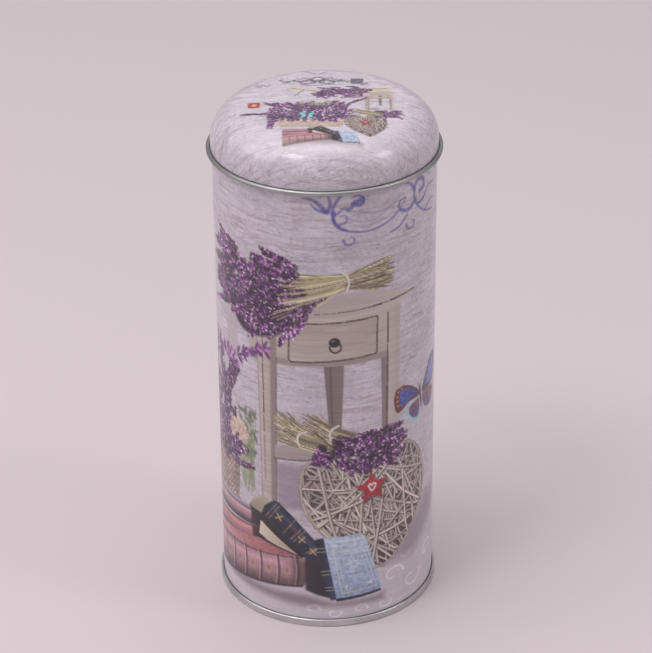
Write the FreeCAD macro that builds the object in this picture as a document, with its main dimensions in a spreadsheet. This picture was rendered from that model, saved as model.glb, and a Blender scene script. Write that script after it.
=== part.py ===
import FreeCAD, Part
import math
import os
import re

import Sketcher
from FreeCAD import Placement, Rotation, Vector

# A round talcum powder tin: a seamed tinplate body, a lift-out sifter with a
# turning shutter, and a slip lid with a rolled bottom edge and a soft shoulder.
# Millimetres, +Z up. The origin is the middle of the base, on the table.

# Every driving size: name, value, meaning.
SIZES = [
    # body
    ("body_radius", 40.0, "outer radius of the straight wall"),
    ("body_height", 184.8, "table to the top of the rolled rim"),
    ("tin_gauge", 0.25, "thickness of every tinplate part"),
    ("rim_roll", 0.8, "outer radius of the inward roll at the mouth"),
    # double seam at the base
    ("seam_height", 2.9, "height of the double seam"),
    ("seam_inner_gap", 0.05, "chuck wall to body wall"),
    ("seam_hook_gap", 0.08, "body wall to cover hook"),
    ("seam_turn_gap", 0.12, "cover hook to body hook"),
    ("seam_outer_gap", 0.15, "body hook to the seam's outer wall"),
    ("seam_base_gap", 0.35, "room for sealing compound under the body hook"),
    ("seam_corner", 0.4, "outer radius of the seam's bottom corners"),
    ("hook_overlap", 1.0, "length over which the two hooks lie side by side"),
    ("panel_lift", 3.0, "table to the underside of the base panel"),
    ("panel_corner", 0.6, "outer radius where the panel meets the chuck wall"),
    ("panel_step", 0.5, "rise of the stiffening step in the base panel"),
    ("step_radius", 33.0, "radius of that step"),
    ("compound_gap", 0.05, "sealing compound to the tinplate round it"),
    # sifter
    ("sifter_fit", 0.1, "sifter to the rolled rim, all round the bend"),
    ("sifter_depth", 4.8, "rim top down to the top of the perforated panel"),
    ("sifter_corner", 0.6, "outer radius of the sifter's bottom corner"),
    ("flange_reach", 0.5, "flange length past the middle of the rim roll"),
    ("hole_radius", 1.2, "radius of a powder hole"),
    ("ring_first", 12.0, "radius of the innermost ring of powder holes"),
    ("ring_pitch", 6.0, "spacing of the rings of powder holes"),
    ("holes_per_ring", 10, "powder holes in one ring"),
    # shutter
    ("shutter_gap", 0.05, "shutter to the sifter panel"),
    ("shutter_margin", 0.9, "shutter edge to the sifter corner"),
    ("pivot_radius", 2.0, "shank radius of the pivot rivet"),
    ("running_fit", 0.05, "radial play of the pivot and the small pins"),
    ("head_radius", 4.2, "radius of the rivet heads"),
    ("head_height", 0.8, "thickness of the rivet heads"),
    ("washer_room", 0.85, "shutter top to the upper rivet head"),
    ("washer_gauge", 0.25, "thickness of the spring washer"),
    ("washer_radius", 3.7, "outer radius of the spring washer"),
    ("washer_bend", 18.0, "radius of the washer's curve"),
    ("pin_radius", 1.0, "stop pin shank radius"),
    ("pin_circle", 33.9, "distance of the stop pin from the pivot"),
    ("slot_play", 0.2, "stop pin to the sides of its slot"),
    ("pin_head_radius", 1.7, "stop pin head radius"),
    ("pin_head_height", 0.5, "stop pin head thickness"),
    ("knob_circle", 21.0, "distance of the knob from the pivot"),
    ("knob_radius", 2.6, "radius of the knob"),
    ("knob_waist", 1.7, "radius of the knob's neck"),
    ("knob_height", 6.0, "knob height above the shutter"),
    # lid
    ("lid_clearance", 0.3, "lid skirt to body wall"),
    ("shoulder_radius", 12.5, "outer radius of the lid's rounded shoulder"),
    ("lid_drop", 6.0, "rim top down to the middle of the lid's rolled edge"),
    ("lid_roll", 0.88, "outer radius of the rolled edge"),
    ("lid_roll_end", 120.0, "angle at which the rolled edge stops"),
    ("crown_rise", 0.4, "rise of the lid's top from shoulder to centre"),
    ("lid_rest", 0.15, "sifter flange to the inside of the shoulder"),
    ("liner_radius", 26.0, "radius of the card liner"),
    ("liner_thickness", 1.2, "thickness of the card liner"),
    ("liner_gap", 0.05, "liner to the inside of the lid"),
]

# Sizes that follow from the ones above.
DERIVED = [
    ("wall_inside", "body_radius - tin_gauge"),
    ("roll_centre_r", "body_radius - rim_roll"),
    ("roll_centre_z", "body_height - rim_roll"),
    ("roll_inner", "rim_roll - tin_gauge"),
    ("chuck_outside", "wall_inside - seam_inner_gap"),
    ("chuck_inside", "chuck_outside - tin_gauge"),
    ("cover_hook_inside", "body_radius + seam_hook_gap"),
    ("cover_hook_outside", "cover_hook_inside + tin_gauge"),
    ("body_hook_inside", "cover_hook_outside + seam_turn_gap"),
    ("body_hook_outside", "body_hook_inside + tin_gauge"),
    ("seam_wall_inside", "body_hook_outside + seam_outer_gap"),
    ("seam_wall_outside", "seam_wall_inside + tin_gauge"),
    ("body_turn", "(body_hook_outside - wall_inside) / 2"),
    ("body_turn_inner", "body_turn - tin_gauge"),
    ("body_turn_z", "tin_gauge + seam_base_gap + body_turn"),
    ("cover_turn", "(seam_wall_outside - cover_hook_inside) / 2"),
    ("cover_turn_inner", "cover_turn - tin_gauge"),
    ("cover_turn_z", "seam_height - cover_turn"),
    ("corner_inner", "seam_corner - tin_gauge"),
    ("body_hook_top", "cover_turn_z - seam_turn_gap"),
    ("cover_hook_foot", "body_hook_top - hook_overlap"),
    ("panel_top", "panel_lift + tin_gauge"),
    ("panel_corner_inner", "panel_corner - tin_gauge"),
    ("panel_corner_r", "chuck_outside - panel_corner"),
    ("panel_corner_z", "panel_top - panel_corner"),
    ("sifter_outside", "roll_centre_r - rim_roll - sifter_fit"),
    ("sifter_inside", "sifter_outside - tin_gauge"),
    ("sifter_top", "body_height - sifter_depth"),
    ("sifter_under", "sifter_top - tin_gauge"),
    ("sifter_bend", "rim_roll + sifter_fit"),
    ("sifter_bend_outer", "sifter_bend + tin_gauge"),
    ("sifter_corner_inner", "sifter_corner - tin_gauge"),
    ("flange_under", "roll_centre_z + sifter_bend"),
    ("flange_top", "flange_under + tin_gauge"),
    ("flange_edge", "roll_centre_r + flange_reach"),
    ("shutter_under", "sifter_top + shutter_gap"),
    ("shutter_top", "shutter_under + tin_gauge"),
    ("shutter_edge", "sifter_outside - sifter_corner - shutter_margin"),
    ("half_pitch", "180 / holes_per_ring"),
    ("pivot_bore", "pivot_radius + running_fit"),
    ("pin_bore", "pin_radius + running_fit"),
    ("pin_slot", "pin_radius + slot_play"),
    ("upper_head_z", "shutter_top + washer_room"),
    ("lower_head_z", "sifter_under - shutter_gap"),
    ("lid_inside", "body_radius + lid_clearance"),
    ("lid_outside", "lid_inside + tin_gauge"),
    ("shoulder_inner", "shoulder_radius - tin_gauge"),
    ("shoulder_r", "lid_outside - shoulder_radius"),
    ("shoulder_reach", "flange_edge - shoulder_r"),
    ("shoulder_z",
     "flange_top - sqrt((shoulder_inner - lid_rest)^2 - shoulder_reach^2)"),
    ("lid_top", "shoulder_z + shoulder_radius"),
    ("crown_radius", "(shoulder_r^2 + crown_rise^2) / (2 * crown_rise)"),
    ("lid_under", "lid_top - tin_gauge"),
    ("lid_roll_r", "lid_inside + lid_roll"),
    ("lid_roll_z", "body_height - lid_drop"),
    ("lid_roll_inner", "lid_roll - tin_gauge"),
    ("liner_top", "lid_under - liner_gap"),
]

POWDER_RINGS = 4

doc = FreeCAD.newDocument("PowderTin")
sheet = doc.addObject("Spreadsheet::Sheet", "Sizes")
row = 1
for alias, value, meaning in SIZES:
    sheet.set(f"A{row}", alias)
    sheet.set(f"B{row}", str(value))
    sheet.set(f"C{row}", meaning)
    sheet.setAlias(f"B{row}", alias)
    row += 1
for alias, formula in DERIVED:
    sheet.set(f"A{row}", alias)
    sheet.set(f"B{row}", "=" + formula)
    sheet.setAlias(f"B{row}", alias)
    row += 1
doc.recompute()

NAME = re.compile(r"\b([a-z]+(?:_[a-z]+)+)\b")


def linked(formula):
    """The formula as written for an object outside the sheet."""
    return NAME.sub(r"Sizes.\1", formula)


def value_of(formula):
    """The number a formula gives now."""
    result = sheet.evalExpression(formula)
    return float(getattr(result, "Value", result))


def new_body(name):
    body = doc.addObject("PartDesign::Body", name)
    body.Label = name
    body.Placement = Placement(Vector(0, 0, 0), Rotation())
    return body


def new_sketch(body, name, role="XY_Plane", lift=None):
    """An empty sketch on one of the body's main planes, lifted along its normal."""
    sketch = body.newObject("Sketcher::SketchObject", name)
    plane = next(f for f in body.Origin.OriginFeatures if f.Role == role)
    sketch.AttachmentSupport = [(plane, "")]
    sketch.MapMode = "FlatFace"
    if lift is not None:
        sketch.AttachmentOffset = Placement(Vector(0, 0, value_of(lift)), Rotation())
        sketch.setExpression(".AttachmentOffset.Base.z", linked(lift))
    return sketch


def pin(sketch, kind, geo, pos, formula, name):
    """Hold one coordinate of a point at a formula's value."""
    if formula == "0":
        axis = -2 if kind == "DistanceX" else -1
        sketch.addConstraint(Sketcher.Constraint("PointOnObject", geo, pos, axis))
        return
    where = value_of(formula)
    index = sketch.addConstraint(Sketcher.Constraint(kind, -1, 1, geo, pos, where))
    sketch.renameConstraint(index, name)
    sketch.setExpression("Constraints." + name, linked(formula))


def hold_radius(sketch, geo, formula, name):
    index = sketch.addConstraint(Sketcher.Constraint("Radius", geo, value_of(formula)))
    sketch.renameConstraint(index, name)
    sketch.setExpression("Constraints." + name, linked(formula))


def hold_half_circle(sketch, geo, step, following, chord):
    """A half circle is held by its centre, midway between its two ends."""
    axis = 1 if abs(chord.x) > abs(chord.y) else 0
    kind = ("DistanceX", "DistanceY")[axis]
    if step[axis] == following[axis]:
        middle = step[axis]
    else:
        middle = f"(({step[axis]}) + ({following[axis]})) / 2"
    pin(sketch, kind, geo, 3, middle, f"m{geo}")


def arc_between(start, end, radius, turn, long_way):
    """The arc from start to end that turns left (+1) or right (-1)."""
    chord = end - start
    half = chord.Length / 2
    rise = math.sqrt(max(radius * radius - half * half, 0.0))
    side = turn if not long_way else -turn
    normal = Vector(-chord.y, chord.x, 0).normalize()
    centre = start + chord * 0.5 + normal * (rise * side)
    first, last = (start, end) if turn > 0 else (end, start)
    a0 = math.atan2(first.y - centre.y, first.x - centre.x)
    a1 = math.atan2(last.y - centre.y, last.x - centre.x)
    if a1 < a0:
        a1 += 2 * math.pi
    circle = Part.Circle(centre, Vector(0, 0, 1), radius)
    return Part.ArcOfCircle(circle, a0, a1)


def outline(sketch, steps):
    """Draw a closed outline.

    Each step is (x, y) for a straight run to the next corner, or
    (x, y, radius, turn) or (x, y, radius, turn, "long") for an arc to it.
    """
    points = [Vector(value_of(s[0]), value_of(s[1]), 0) for s in steps]
    ends = []
    for i, step in enumerate(steps):
        here = points[i]
        there = points[(i + 1) % len(points)]
        if len(step) == 2:
            sketch.addGeometry(Part.LineSegment(here, there))
            ends.append((1, 2))
            continue
        turn = step[3]
        radius = value_of(step[2])
        sketch.addGeometry(arc_between(here, there, radius, turn, len(step) == 5))
        ends.append((1, 2) if turn > 0 else (2, 1))
    count = len(steps)
    for i in range(count):
        j = (i + 1) % count
        join = Sketcher.Constraint("Coincident", i, ends[i][1], j, ends[j][0])
        sketch.addConstraint(join)
    for i, step in enumerate(steps):
        pin(sketch, "DistanceX", i, ends[i][0], step[0], f"x{i}")
        pin(sketch, "DistanceY", i, ends[i][0], step[1], f"y{i}")
        if len(step) == 2:
            continue
        chord = points[(i + 1) % count] - points[i]
        if chord.Length < 1.9999 * value_of(step[2]):
            hold_radius(sketch, i, step[2], f"r{i}")
        else:
            hold_half_circle(sketch, i, step, steps[(i + 1) % count], chord)


def add_circle(sketch, x, y, radius):
    geo = sketch.GeometryCount
    middle = Vector(value_of(x), value_of(y), 0)
    sketch.addGeometry(Part.Circle(middle, Vector(0, 0, 1), value_of(radius)))
    pin(sketch, "DistanceX", geo, 3, x, f"cx{geo}")
    pin(sketch, "DistanceY", geo, 3, y, f"cy{geo}")
    hold_radius(sketch, geo, radius, f"cr{geo}")


def revolve(body, steps):
    """Spin a half section, drawn on the XZ plane, once round the Z axis."""
    section = new_sketch(body, body.Name + "_section", "XZ_Plane")
    outline(section, steps)
    spin = body.newObject("PartDesign::Revolution", body.Name + "_revolved")
    spin.Profile = section
    spin.ReferenceAxis = (section, ["V_Axis"])
    spin.Angle = 360
    return spin


def cut_through(body, sketch, name):
    """Cut a sketch both ways right through the body."""
    cut = body.newObject("PartDesign::Pocket", name)
    cut.Profile = sketch
    cut.Type = 1
    cut.Midplane = True
    return cut


def hole_rings(body, angle, lift):
    """One spoke of powder holes at a given angle, repeated round the centre."""
    spoke = new_sketch(body, body.Name + "_spoke", "XY_Plane", lift)
    for ring in range(POWDER_RINGS):
        radius = f"(ring_first + {ring} * ring_pitch)"
        x = f"{radius} * cos({angle})"
        y = f"{radius} * sin({angle})" if angle != "0" else "0"
        add_circle(spoke, x, y, "hole_radius")
    cut = cut_through(body, spoke, body.Name + "_holes")
    body.Tip = cut
    doc.recompute()
    pattern = body.newObject("PartDesign::PolarPattern", body.Name + "_pattern")
    pattern.Originals = [cut]
    pattern.Axis = (spoke, ["N_Axis"])
    pattern.Angle = 360
    pattern.Occurrences = int(value_of("holes_per_ring"))
    pattern.setExpression("Occurrences", linked("holes_per_ring"))
    body.Tip = pattern
    doc.recompute()


# ---- body -------------------------------------------------------------

# Rolled wall: inward roll at the mouth, hook turned out and up at the base.
body_wall = new_body("body_wall")
revolve(body_wall, [
    ("body_radius", "roll_centre_z", "rim_roll", 1, "long"),
    ("roll_centre_r", "roll_centre_z - rim_roll"),
    ("roll_centre_r", "roll_centre_z - roll_inner", "roll_inner", -1, "long"),
    ("wall_inside", "roll_centre_z"),
    ("wall_inside", "body_turn_z", "body_turn", 1),
    ("body_hook_outside", "body_turn_z"),
    ("body_hook_outside", "body_hook_top"),
    ("body_hook_inside", "body_hook_top"),
    ("body_hook_inside", "body_turn_z", "body_turn_inner", -1),
    ("body_radius", "body_turn_z"),
])

# Base end: recessed panel, chuck wall, and the seam that wraps the body hook.
bottom_end = new_body("bottom_end")
revolve(bottom_end, [
    ("0", "panel_lift + panel_step"),
    ("step_radius", "panel_lift + panel_step"),
    ("step_radius + panel_step", "panel_lift"),
    ("panel_corner_r", "panel_lift", "panel_corner_inner", -1),
    ("chuck_inside", "panel_corner_z"),
    ("chuck_inside", "seam_corner", "seam_corner", 1),
    ("chuck_inside + seam_corner", "0"),
    ("seam_wall_outside - seam_corner", "0", "seam_corner", 1),
    ("seam_wall_outside", "seam_corner"),
    ("seam_wall_outside", "cover_turn_z", "cover_turn", 1),
    ("cover_hook_inside", "cover_turn_z"),
    ("cover_hook_inside", "cover_hook_foot"),
    ("cover_hook_outside", "cover_hook_foot"),
    ("cover_hook_outside", "cover_turn_z", "cover_turn_inner", -1),
    ("seam_wall_inside", "cover_turn_z"),
    ("seam_wall_inside", "seam_corner", "corner_inner", -1),
    ("seam_wall_inside - corner_inner", "tin_gauge"),
    ("chuck_outside", "tin_gauge"),
    ("chuck_outside", "panel_corner_z", "panel_corner", 1),
    ("panel_corner_r", "panel_top"),
    ("step_radius + panel_step", "panel_top"),
    ("step_radius", "panel_top + panel_step"),
    ("0", "panel_top + panel_step"),
])

# Ring of sealing compound under the body hook.
seam_gasket = new_body("seam_gasket")
revolve(seam_gasket, [
    ("chuck_outside + compound_gap", "tin_gauge + compound_gap"),
    ("body_hook_outside - compound_gap", "tin_gauge + compound_gap"),
    ("body_hook_outside - compound_gap", "tin_gauge + seam_base_gap - compound_gap"),
    ("chuck_outside + compound_gap", "tin_gauge + seam_base_gap - compound_gap"),
])

# ---- sifter -----------------------------------------------------------

# Perforated dish whose flange sits on the rolled rim.
sifter_plate = new_body("sifter_plate")
revolve(sifter_plate, [
    ("0", "sifter_under"),
    ("sifter_outside - sifter_corner", "sifter_under", "sifter_corner", 1),
    ("sifter_outside", "sifter_under + sifter_corner"),
    ("sifter_outside", "roll_centre_z", "sifter_bend", -1),
    ("roll_centre_r", "flange_under"),
    ("flange_edge", "flange_under"),
    ("flange_edge", "flange_top"),
    ("roll_centre_r", "flange_top", "sifter_bend_outer", 1),
    ("sifter_inside", "roll_centre_z"),
    ("sifter_inside", "sifter_under + sifter_corner", "sifter_corner_inner", -1),
    ("sifter_outside - sifter_corner", "sifter_top"),
    ("0", "sifter_top"),
])
hole_rings(sifter_plate, "0", "sifter_under")
plate_bores = new_sketch(sifter_plate, "sifter_plate_bores", "XY_Plane", "sifter_under")
add_circle(plate_bores, "0", "0", "pivot_bore")
add_circle(plate_bores, "0", "-pin_circle", "pin_bore")
sifter_plate.Tip = cut_through(sifter_plate, plate_bores, "sifter_plate_bored")

# Rivet the shutter turns on, headed above and below.
pivot_rivet = new_body("pivot_rivet")
revolve(pivot_rivet, [
    ("0", "lower_head_z - head_height"),
    ("head_radius - head_height", "lower_head_z - head_height", "head_height", 1),
    ("head_radius", "lower_head_z"),
    ("pivot_radius", "lower_head_z"),
    ("pivot_radius", "upper_head_z"),
    ("head_radius", "upper_head_z", "head_height", 1),
    ("head_radius - head_height", "upper_head_z + head_height"),
    ("0", "upper_head_z + head_height"),
])

# Curved spring washer that keeps the shutter down on the panel.
spring_washer = new_body("spring_washer")
strip = new_sketch(spring_washer, "spring_washer_strip", "XZ_Plane")
WASHER_HALF = "(washer_radius + washer_gauge)"
STRIP_FOOT = "(shutter_top + shutter_gap)"
outline(strip, [
    ("0 - " + WASHER_HALF, STRIP_FOOT, "washer_bend", -1),
    (WASHER_HALF, STRIP_FOOT),
    (WASHER_HALF, STRIP_FOOT + " + washer_gauge", "washer_bend", 1),
    ("0 - " + WASHER_HALF, STRIP_FOOT + " + washer_gauge"),
])
strip_pad = spring_washer.newObject("PartDesign::Pad", "spring_washer_bent")
strip_pad.Profile = strip
strip_pad.Midplane = True
strip_pad.Length = 2 * value_of(WASHER_HALF)
strip_pad.setExpression("Length", linked("2 * " + WASHER_HALF))
spring_washer.Tip = strip_pad
doc.recompute()
trim = new_sketch(spring_washer, "spring_washer_trim", "XY_Plane", "shutter_top")
outline(trim, [
    ("0 - 2 * washer_radius", "0 - 2 * washer_radius"),
    ("2 * washer_radius", "0 - 2 * washer_radius"),
    ("2 * washer_radius", "2 * washer_radius"),
    ("0 - 2 * washer_radius", "2 * washer_radius"),
])
add_circle(trim, "0", "0", "washer_radius")
add_circle(trim, "0", "0", "pivot_bore + slot_play")
spring_washer.Tip = cut_through(spring_washer, trim, "spring_washer_round")

# Headed pin that stops the shutter at closed and at open.
stop_pin = new_body("stop_pin")
revolve(stop_pin, [
    ("0", "lower_head_z - pin_head_height"),
    ("pin_head_radius", "lower_head_z - pin_head_height"),
    ("pin_head_radius", "lower_head_z"),
    ("pin_radius", "lower_head_z"),
    ("pin_radius", "shutter_top + shutter_gap"),
    ("pin_head_radius", "shutter_top + shutter_gap"),
    ("pin_head_radius", "shutter_top + shutter_gap + pin_head_height"),
    ("0", "shutter_top + shutter_gap + pin_head_height"),
])
stop_pin.setExpression(".Placement.Base.y", linked("0 - pin_circle"))

# ---- shutter ----------------------------------------------------------

# Disc whose holes lie between the sifter's when closed, over them when open.
shutter_disc = new_body("shutter_disc")
revolve(shutter_disc, [
    ("0", "shutter_under"),
    ("shutter_edge", "shutter_under"),
    ("shutter_edge", "shutter_top"),
    ("0", "shutter_top"),
])
hole_rings(shutter_disc, "half_pitch", "shutter_under")
disc_bores = new_sketch(shutter_disc, "shutter_disc_bores", "XY_Plane", "shutter_under")
add_circle(disc_bores, "0", "0", "pivot_bore")
add_circle(disc_bores, "0", "knob_circle", "pin_bore")
bored = cut_through(shutter_disc, disc_bores, "shutter_disc_bored")
shutter_disc.Tip = bored
doc.recompute()

# Curved slot for the stop pin, from closed back to open.
slot = new_sketch(shutter_disc, "shutter_disc_slot", "XY_Plane", "shutter_under")
SWEPT_X = "0 - {0} * sin(2 * half_pitch / 2)"
SWEPT_Y = "0 - {0} * cos(2 * half_pitch / 2)"
INNER = "(pin_circle - pin_slot)"
OUTER = "(pin_circle + pin_slot)"
outline(slot, [
    (SWEPT_X.format(OUTER), SWEPT_Y.format(OUTER), OUTER, 1),
    ("0", "0 - " + OUTER, "pin_slot", 1),
    ("0", "0 - " + INNER, INNER, -1),
    (SWEPT_X.format(INNER), SWEPT_Y.format(INNER), "pin_slot", 1),
])
shutter_disc.Tip = cut_through(shutter_disc, slot, "shutter_disc_slotted")

# Small waisted knob to turn the shutter by.
turn_knob = new_body("turn_knob")
revolve(turn_knob, [
    ("0", "shutter_under"),
    ("pin_radius", "shutter_under"),
    ("pin_radius", "shutter_top"),
    ("knob_radius", "shutter_top"),
    ("knob_radius", "shutter_top + 0.7", "0.9", 1),
    ("knob_waist", "shutter_top + 1.6"),
    ("knob_waist", "shutter_top + knob_height - 2.8", "0.9", -1),
    ("knob_radius", "shutter_top + knob_height - 1.9"),
    ("knob_radius", "shutter_top + knob_height - 1.0", "1.0", 1),
    ("knob_radius - 1.0", "shutter_top + knob_height"),
    ("0", "shutter_top + knob_height"),
])
turn_knob.setExpression(".Placement.Base.y", linked("knob_circle"))

# ---- lid --------------------------------------------------------------

# Slip lid: straight skirt, outward rolled edge, round shoulder, flat crown.
lid_shell = new_body("lid_shell")
ROLL_END_X = "lid_roll_r + {0} * cos(lid_roll_end)"
ROLL_END_Z = "lid_roll_z + {0} * sin(lid_roll_end)"
revolve(lid_shell, [
    ("0", "lid_under + crown_rise", "crown_radius", -1),
    ("shoulder_r", "lid_under", "shoulder_inner", -1),
    ("lid_inside", "shoulder_z"),
    ("lid_inside", "lid_roll_z", "lid_roll", 1, "long"),
    (ROLL_END_X.format("lid_roll"), ROLL_END_Z.format("lid_roll")),
    (ROLL_END_X.format("lid_roll_inner"), ROLL_END_Z.format("lid_roll_inner"),
     "lid_roll_inner", -1, "long"),
    ("lid_outside", "lid_roll_z"),
    ("lid_outside", "shoulder_z", "shoulder_radius", 1),
    ("shoulder_r", "lid_top", "crown_radius", 1),
    ("0", "lid_top + crown_rise"),
])

# Card disc glued inside the top of the lid.
lid_liner = new_body("lid_liner")
revolve(lid_liner, [
    ("0", "liner_top - liner_thickness"),
    ("liner_radius", "liner_top - liner_thickness"),
    ("liner_radius", "liner_top"),
    ("0", "liner_top"),
])

doc.recompute()

PARTS = [
    body_wall, bottom_end, seam_gasket,
    sifter_plate, pivot_rivet, spring_washer, stop_pin,
    shutter_disc, turn_knob,
    lid_shell, lid_liner,
]

for item in doc.Objects:
    if "Invalid" in item.State or "Error" in item.State:
        raise RuntimeError(f"{item.Name} did not recompute: {item.State}")
for part in PARTS:
    if part.Shape.isNull() or not part.Shape.isValid():
        raise RuntimeError(f"{part.Label} has no valid shape")

os.makedirs("parts", exist_ok=True)
for part in PARTS:
    part.Shape.exportStep(f"parts/{part.Label}.step")
    box = part.Shape.BoundBox
    print(part.Label, len(part.Shape.Solids), round(part.Shape.Volume, 2),
          [round(v, 2) for v in (box.XMin, box.XMax, box.YMin, box.YMax, box.ZMin, box.ZMax)])
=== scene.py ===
import math

import bpy
import numpy as np
from mathutils import Matrix, Vector


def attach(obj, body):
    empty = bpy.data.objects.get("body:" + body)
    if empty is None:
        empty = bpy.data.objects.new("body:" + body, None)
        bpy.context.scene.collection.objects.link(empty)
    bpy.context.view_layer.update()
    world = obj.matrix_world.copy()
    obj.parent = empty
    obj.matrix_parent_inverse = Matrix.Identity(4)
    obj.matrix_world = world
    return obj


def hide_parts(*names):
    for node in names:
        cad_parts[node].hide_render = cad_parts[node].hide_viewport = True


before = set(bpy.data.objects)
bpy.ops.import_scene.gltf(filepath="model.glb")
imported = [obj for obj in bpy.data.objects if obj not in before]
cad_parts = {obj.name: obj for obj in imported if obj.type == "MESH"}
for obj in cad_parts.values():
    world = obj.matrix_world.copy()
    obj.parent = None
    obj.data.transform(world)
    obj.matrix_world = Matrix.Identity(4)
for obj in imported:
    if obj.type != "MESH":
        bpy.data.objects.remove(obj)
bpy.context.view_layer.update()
MM = 0.001

# Sizes of the tin, in millimetres, as in the CAD model.
WALL_R = 40.0
GAUGE = 0.25
ROLL_R, ROLL_Z, ROLL = 39.2, 184.0, 0.8
HOOK_R, HOOK_Z, HOOK = 40.225, 1.075, 0.475
HOOK_TOP = 2.27
LID_R, SHOULDER_R, SHOULDER_Z, SHOULDER = 40.55, 28.05, 181.883, 12.5
LID_ROLL_R, LID_ROLL_Z, LID_ROLL = 41.18, 178.8, 0.88
CROWN = 0.4
LID_TOP = SHOULDER_Z + SHOULDER
SIDE_LOW, SIDE_HIGH = 2.9, 178.5       # the part of the wall's side that is closely divided
PRINT_TOP = 180.6                      # the print ends here, under the lid
LID_PICTURE_R = 60.0                   # how far the lid's picture runs from its middle

LINE_PITCH = 0.36      # spacing of the print's dots along the wall
WALL_STEPS = 180       # columns in a quarter of the wall
LID_STEPS = 560        # columns round the lid
FAR, TINY = 1e9, 1e-9  # a distance past anything on the sheet, and one too small to matter


# ---------------------------------------------------------------- printing

def linear(rgb):
    """Light values of screen colours."""
    rgb = np.clip(np.asarray(rgb, dtype=np.float32), 0.0, 1.0)
    return np.where(rgb <= 0.04045, rgb / 12.92, ((rgb + 0.055) / 1.055) ** 2.4)


def cloud(rng, shape, cells, octaves=3):
    """Soft random field, about -1 to 1, with a given number of cells up and across."""
    total = np.zeros(shape, np.float32)
    weight = 1.0
    for octave in range(octaves):
        rows = max(2, int(cells[0] * 2 ** octave))
        cols = max(2, int(cells[1] * 2 ** octave))
        lattice = rng.uniform(-1, 1, (rows + 1, cols + 1)).astype(np.float32)
        v = np.linspace(0, rows - 1e-4, shape[0])
        u = np.linspace(0, cols - 1e-4, shape[1])
        vi, ui = v.astype(int), u.astype(int)
        vf, uf = v - vi, u - ui
        vf = (vf * vf * (3 - 2 * vf)).astype(np.float32)[:, None]
        uf = (uf * uf * (3 - 2 * uf)).astype(np.float32)[None, :]
        top = lattice[vi][:, ui] * (1 - uf) + lattice[vi][:, ui + 1] * uf
        low = lattice[vi + 1][:, ui] * (1 - uf) + lattice[vi + 1][:, ui + 1] * uf
        total += weight * (top * (1 - vf) + low * vf)
        weight *= 0.55
    return total


def smooth_line(points, count=10):
    """A flowing line through given points."""
    p = [np.array(q, float) for q in points]
    p = [2 * p[0] - p[1]] + p + [2 * p[-1] - p[-2]]
    line = []
    for i in range(1, len(p) - 2):
        for t in np.linspace(0, 1, count, endpoint=False):
            a = 2 * p[i]
            b = p[i + 1] - p[i - 1]
            c = 2 * p[i - 1] - 5 * p[i] + 4 * p[i + 1] - p[i + 2]
            d = 3 * p[i] - p[i - 1] - 3 * p[i + 1] + p[i + 2]
            line.append(0.5 * (a + b * t + c * t * t + d * t ** 3))
    line.append(p[-2])
    return line


def off_line(x, y, a, b):
    """How far dots are from the line a to b, and where along it they are, 0 to 1."""
    dx, dy = b - a
    size = max(dx * dx + dy * dy, TINY)
    t = np.clip(((x - a[0]) * dx + (y - a[1]) * dy) / size, 0, 1)
    return np.hypot(x - a[0] - t * dx, y - a[1] - t * dy), t


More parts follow.
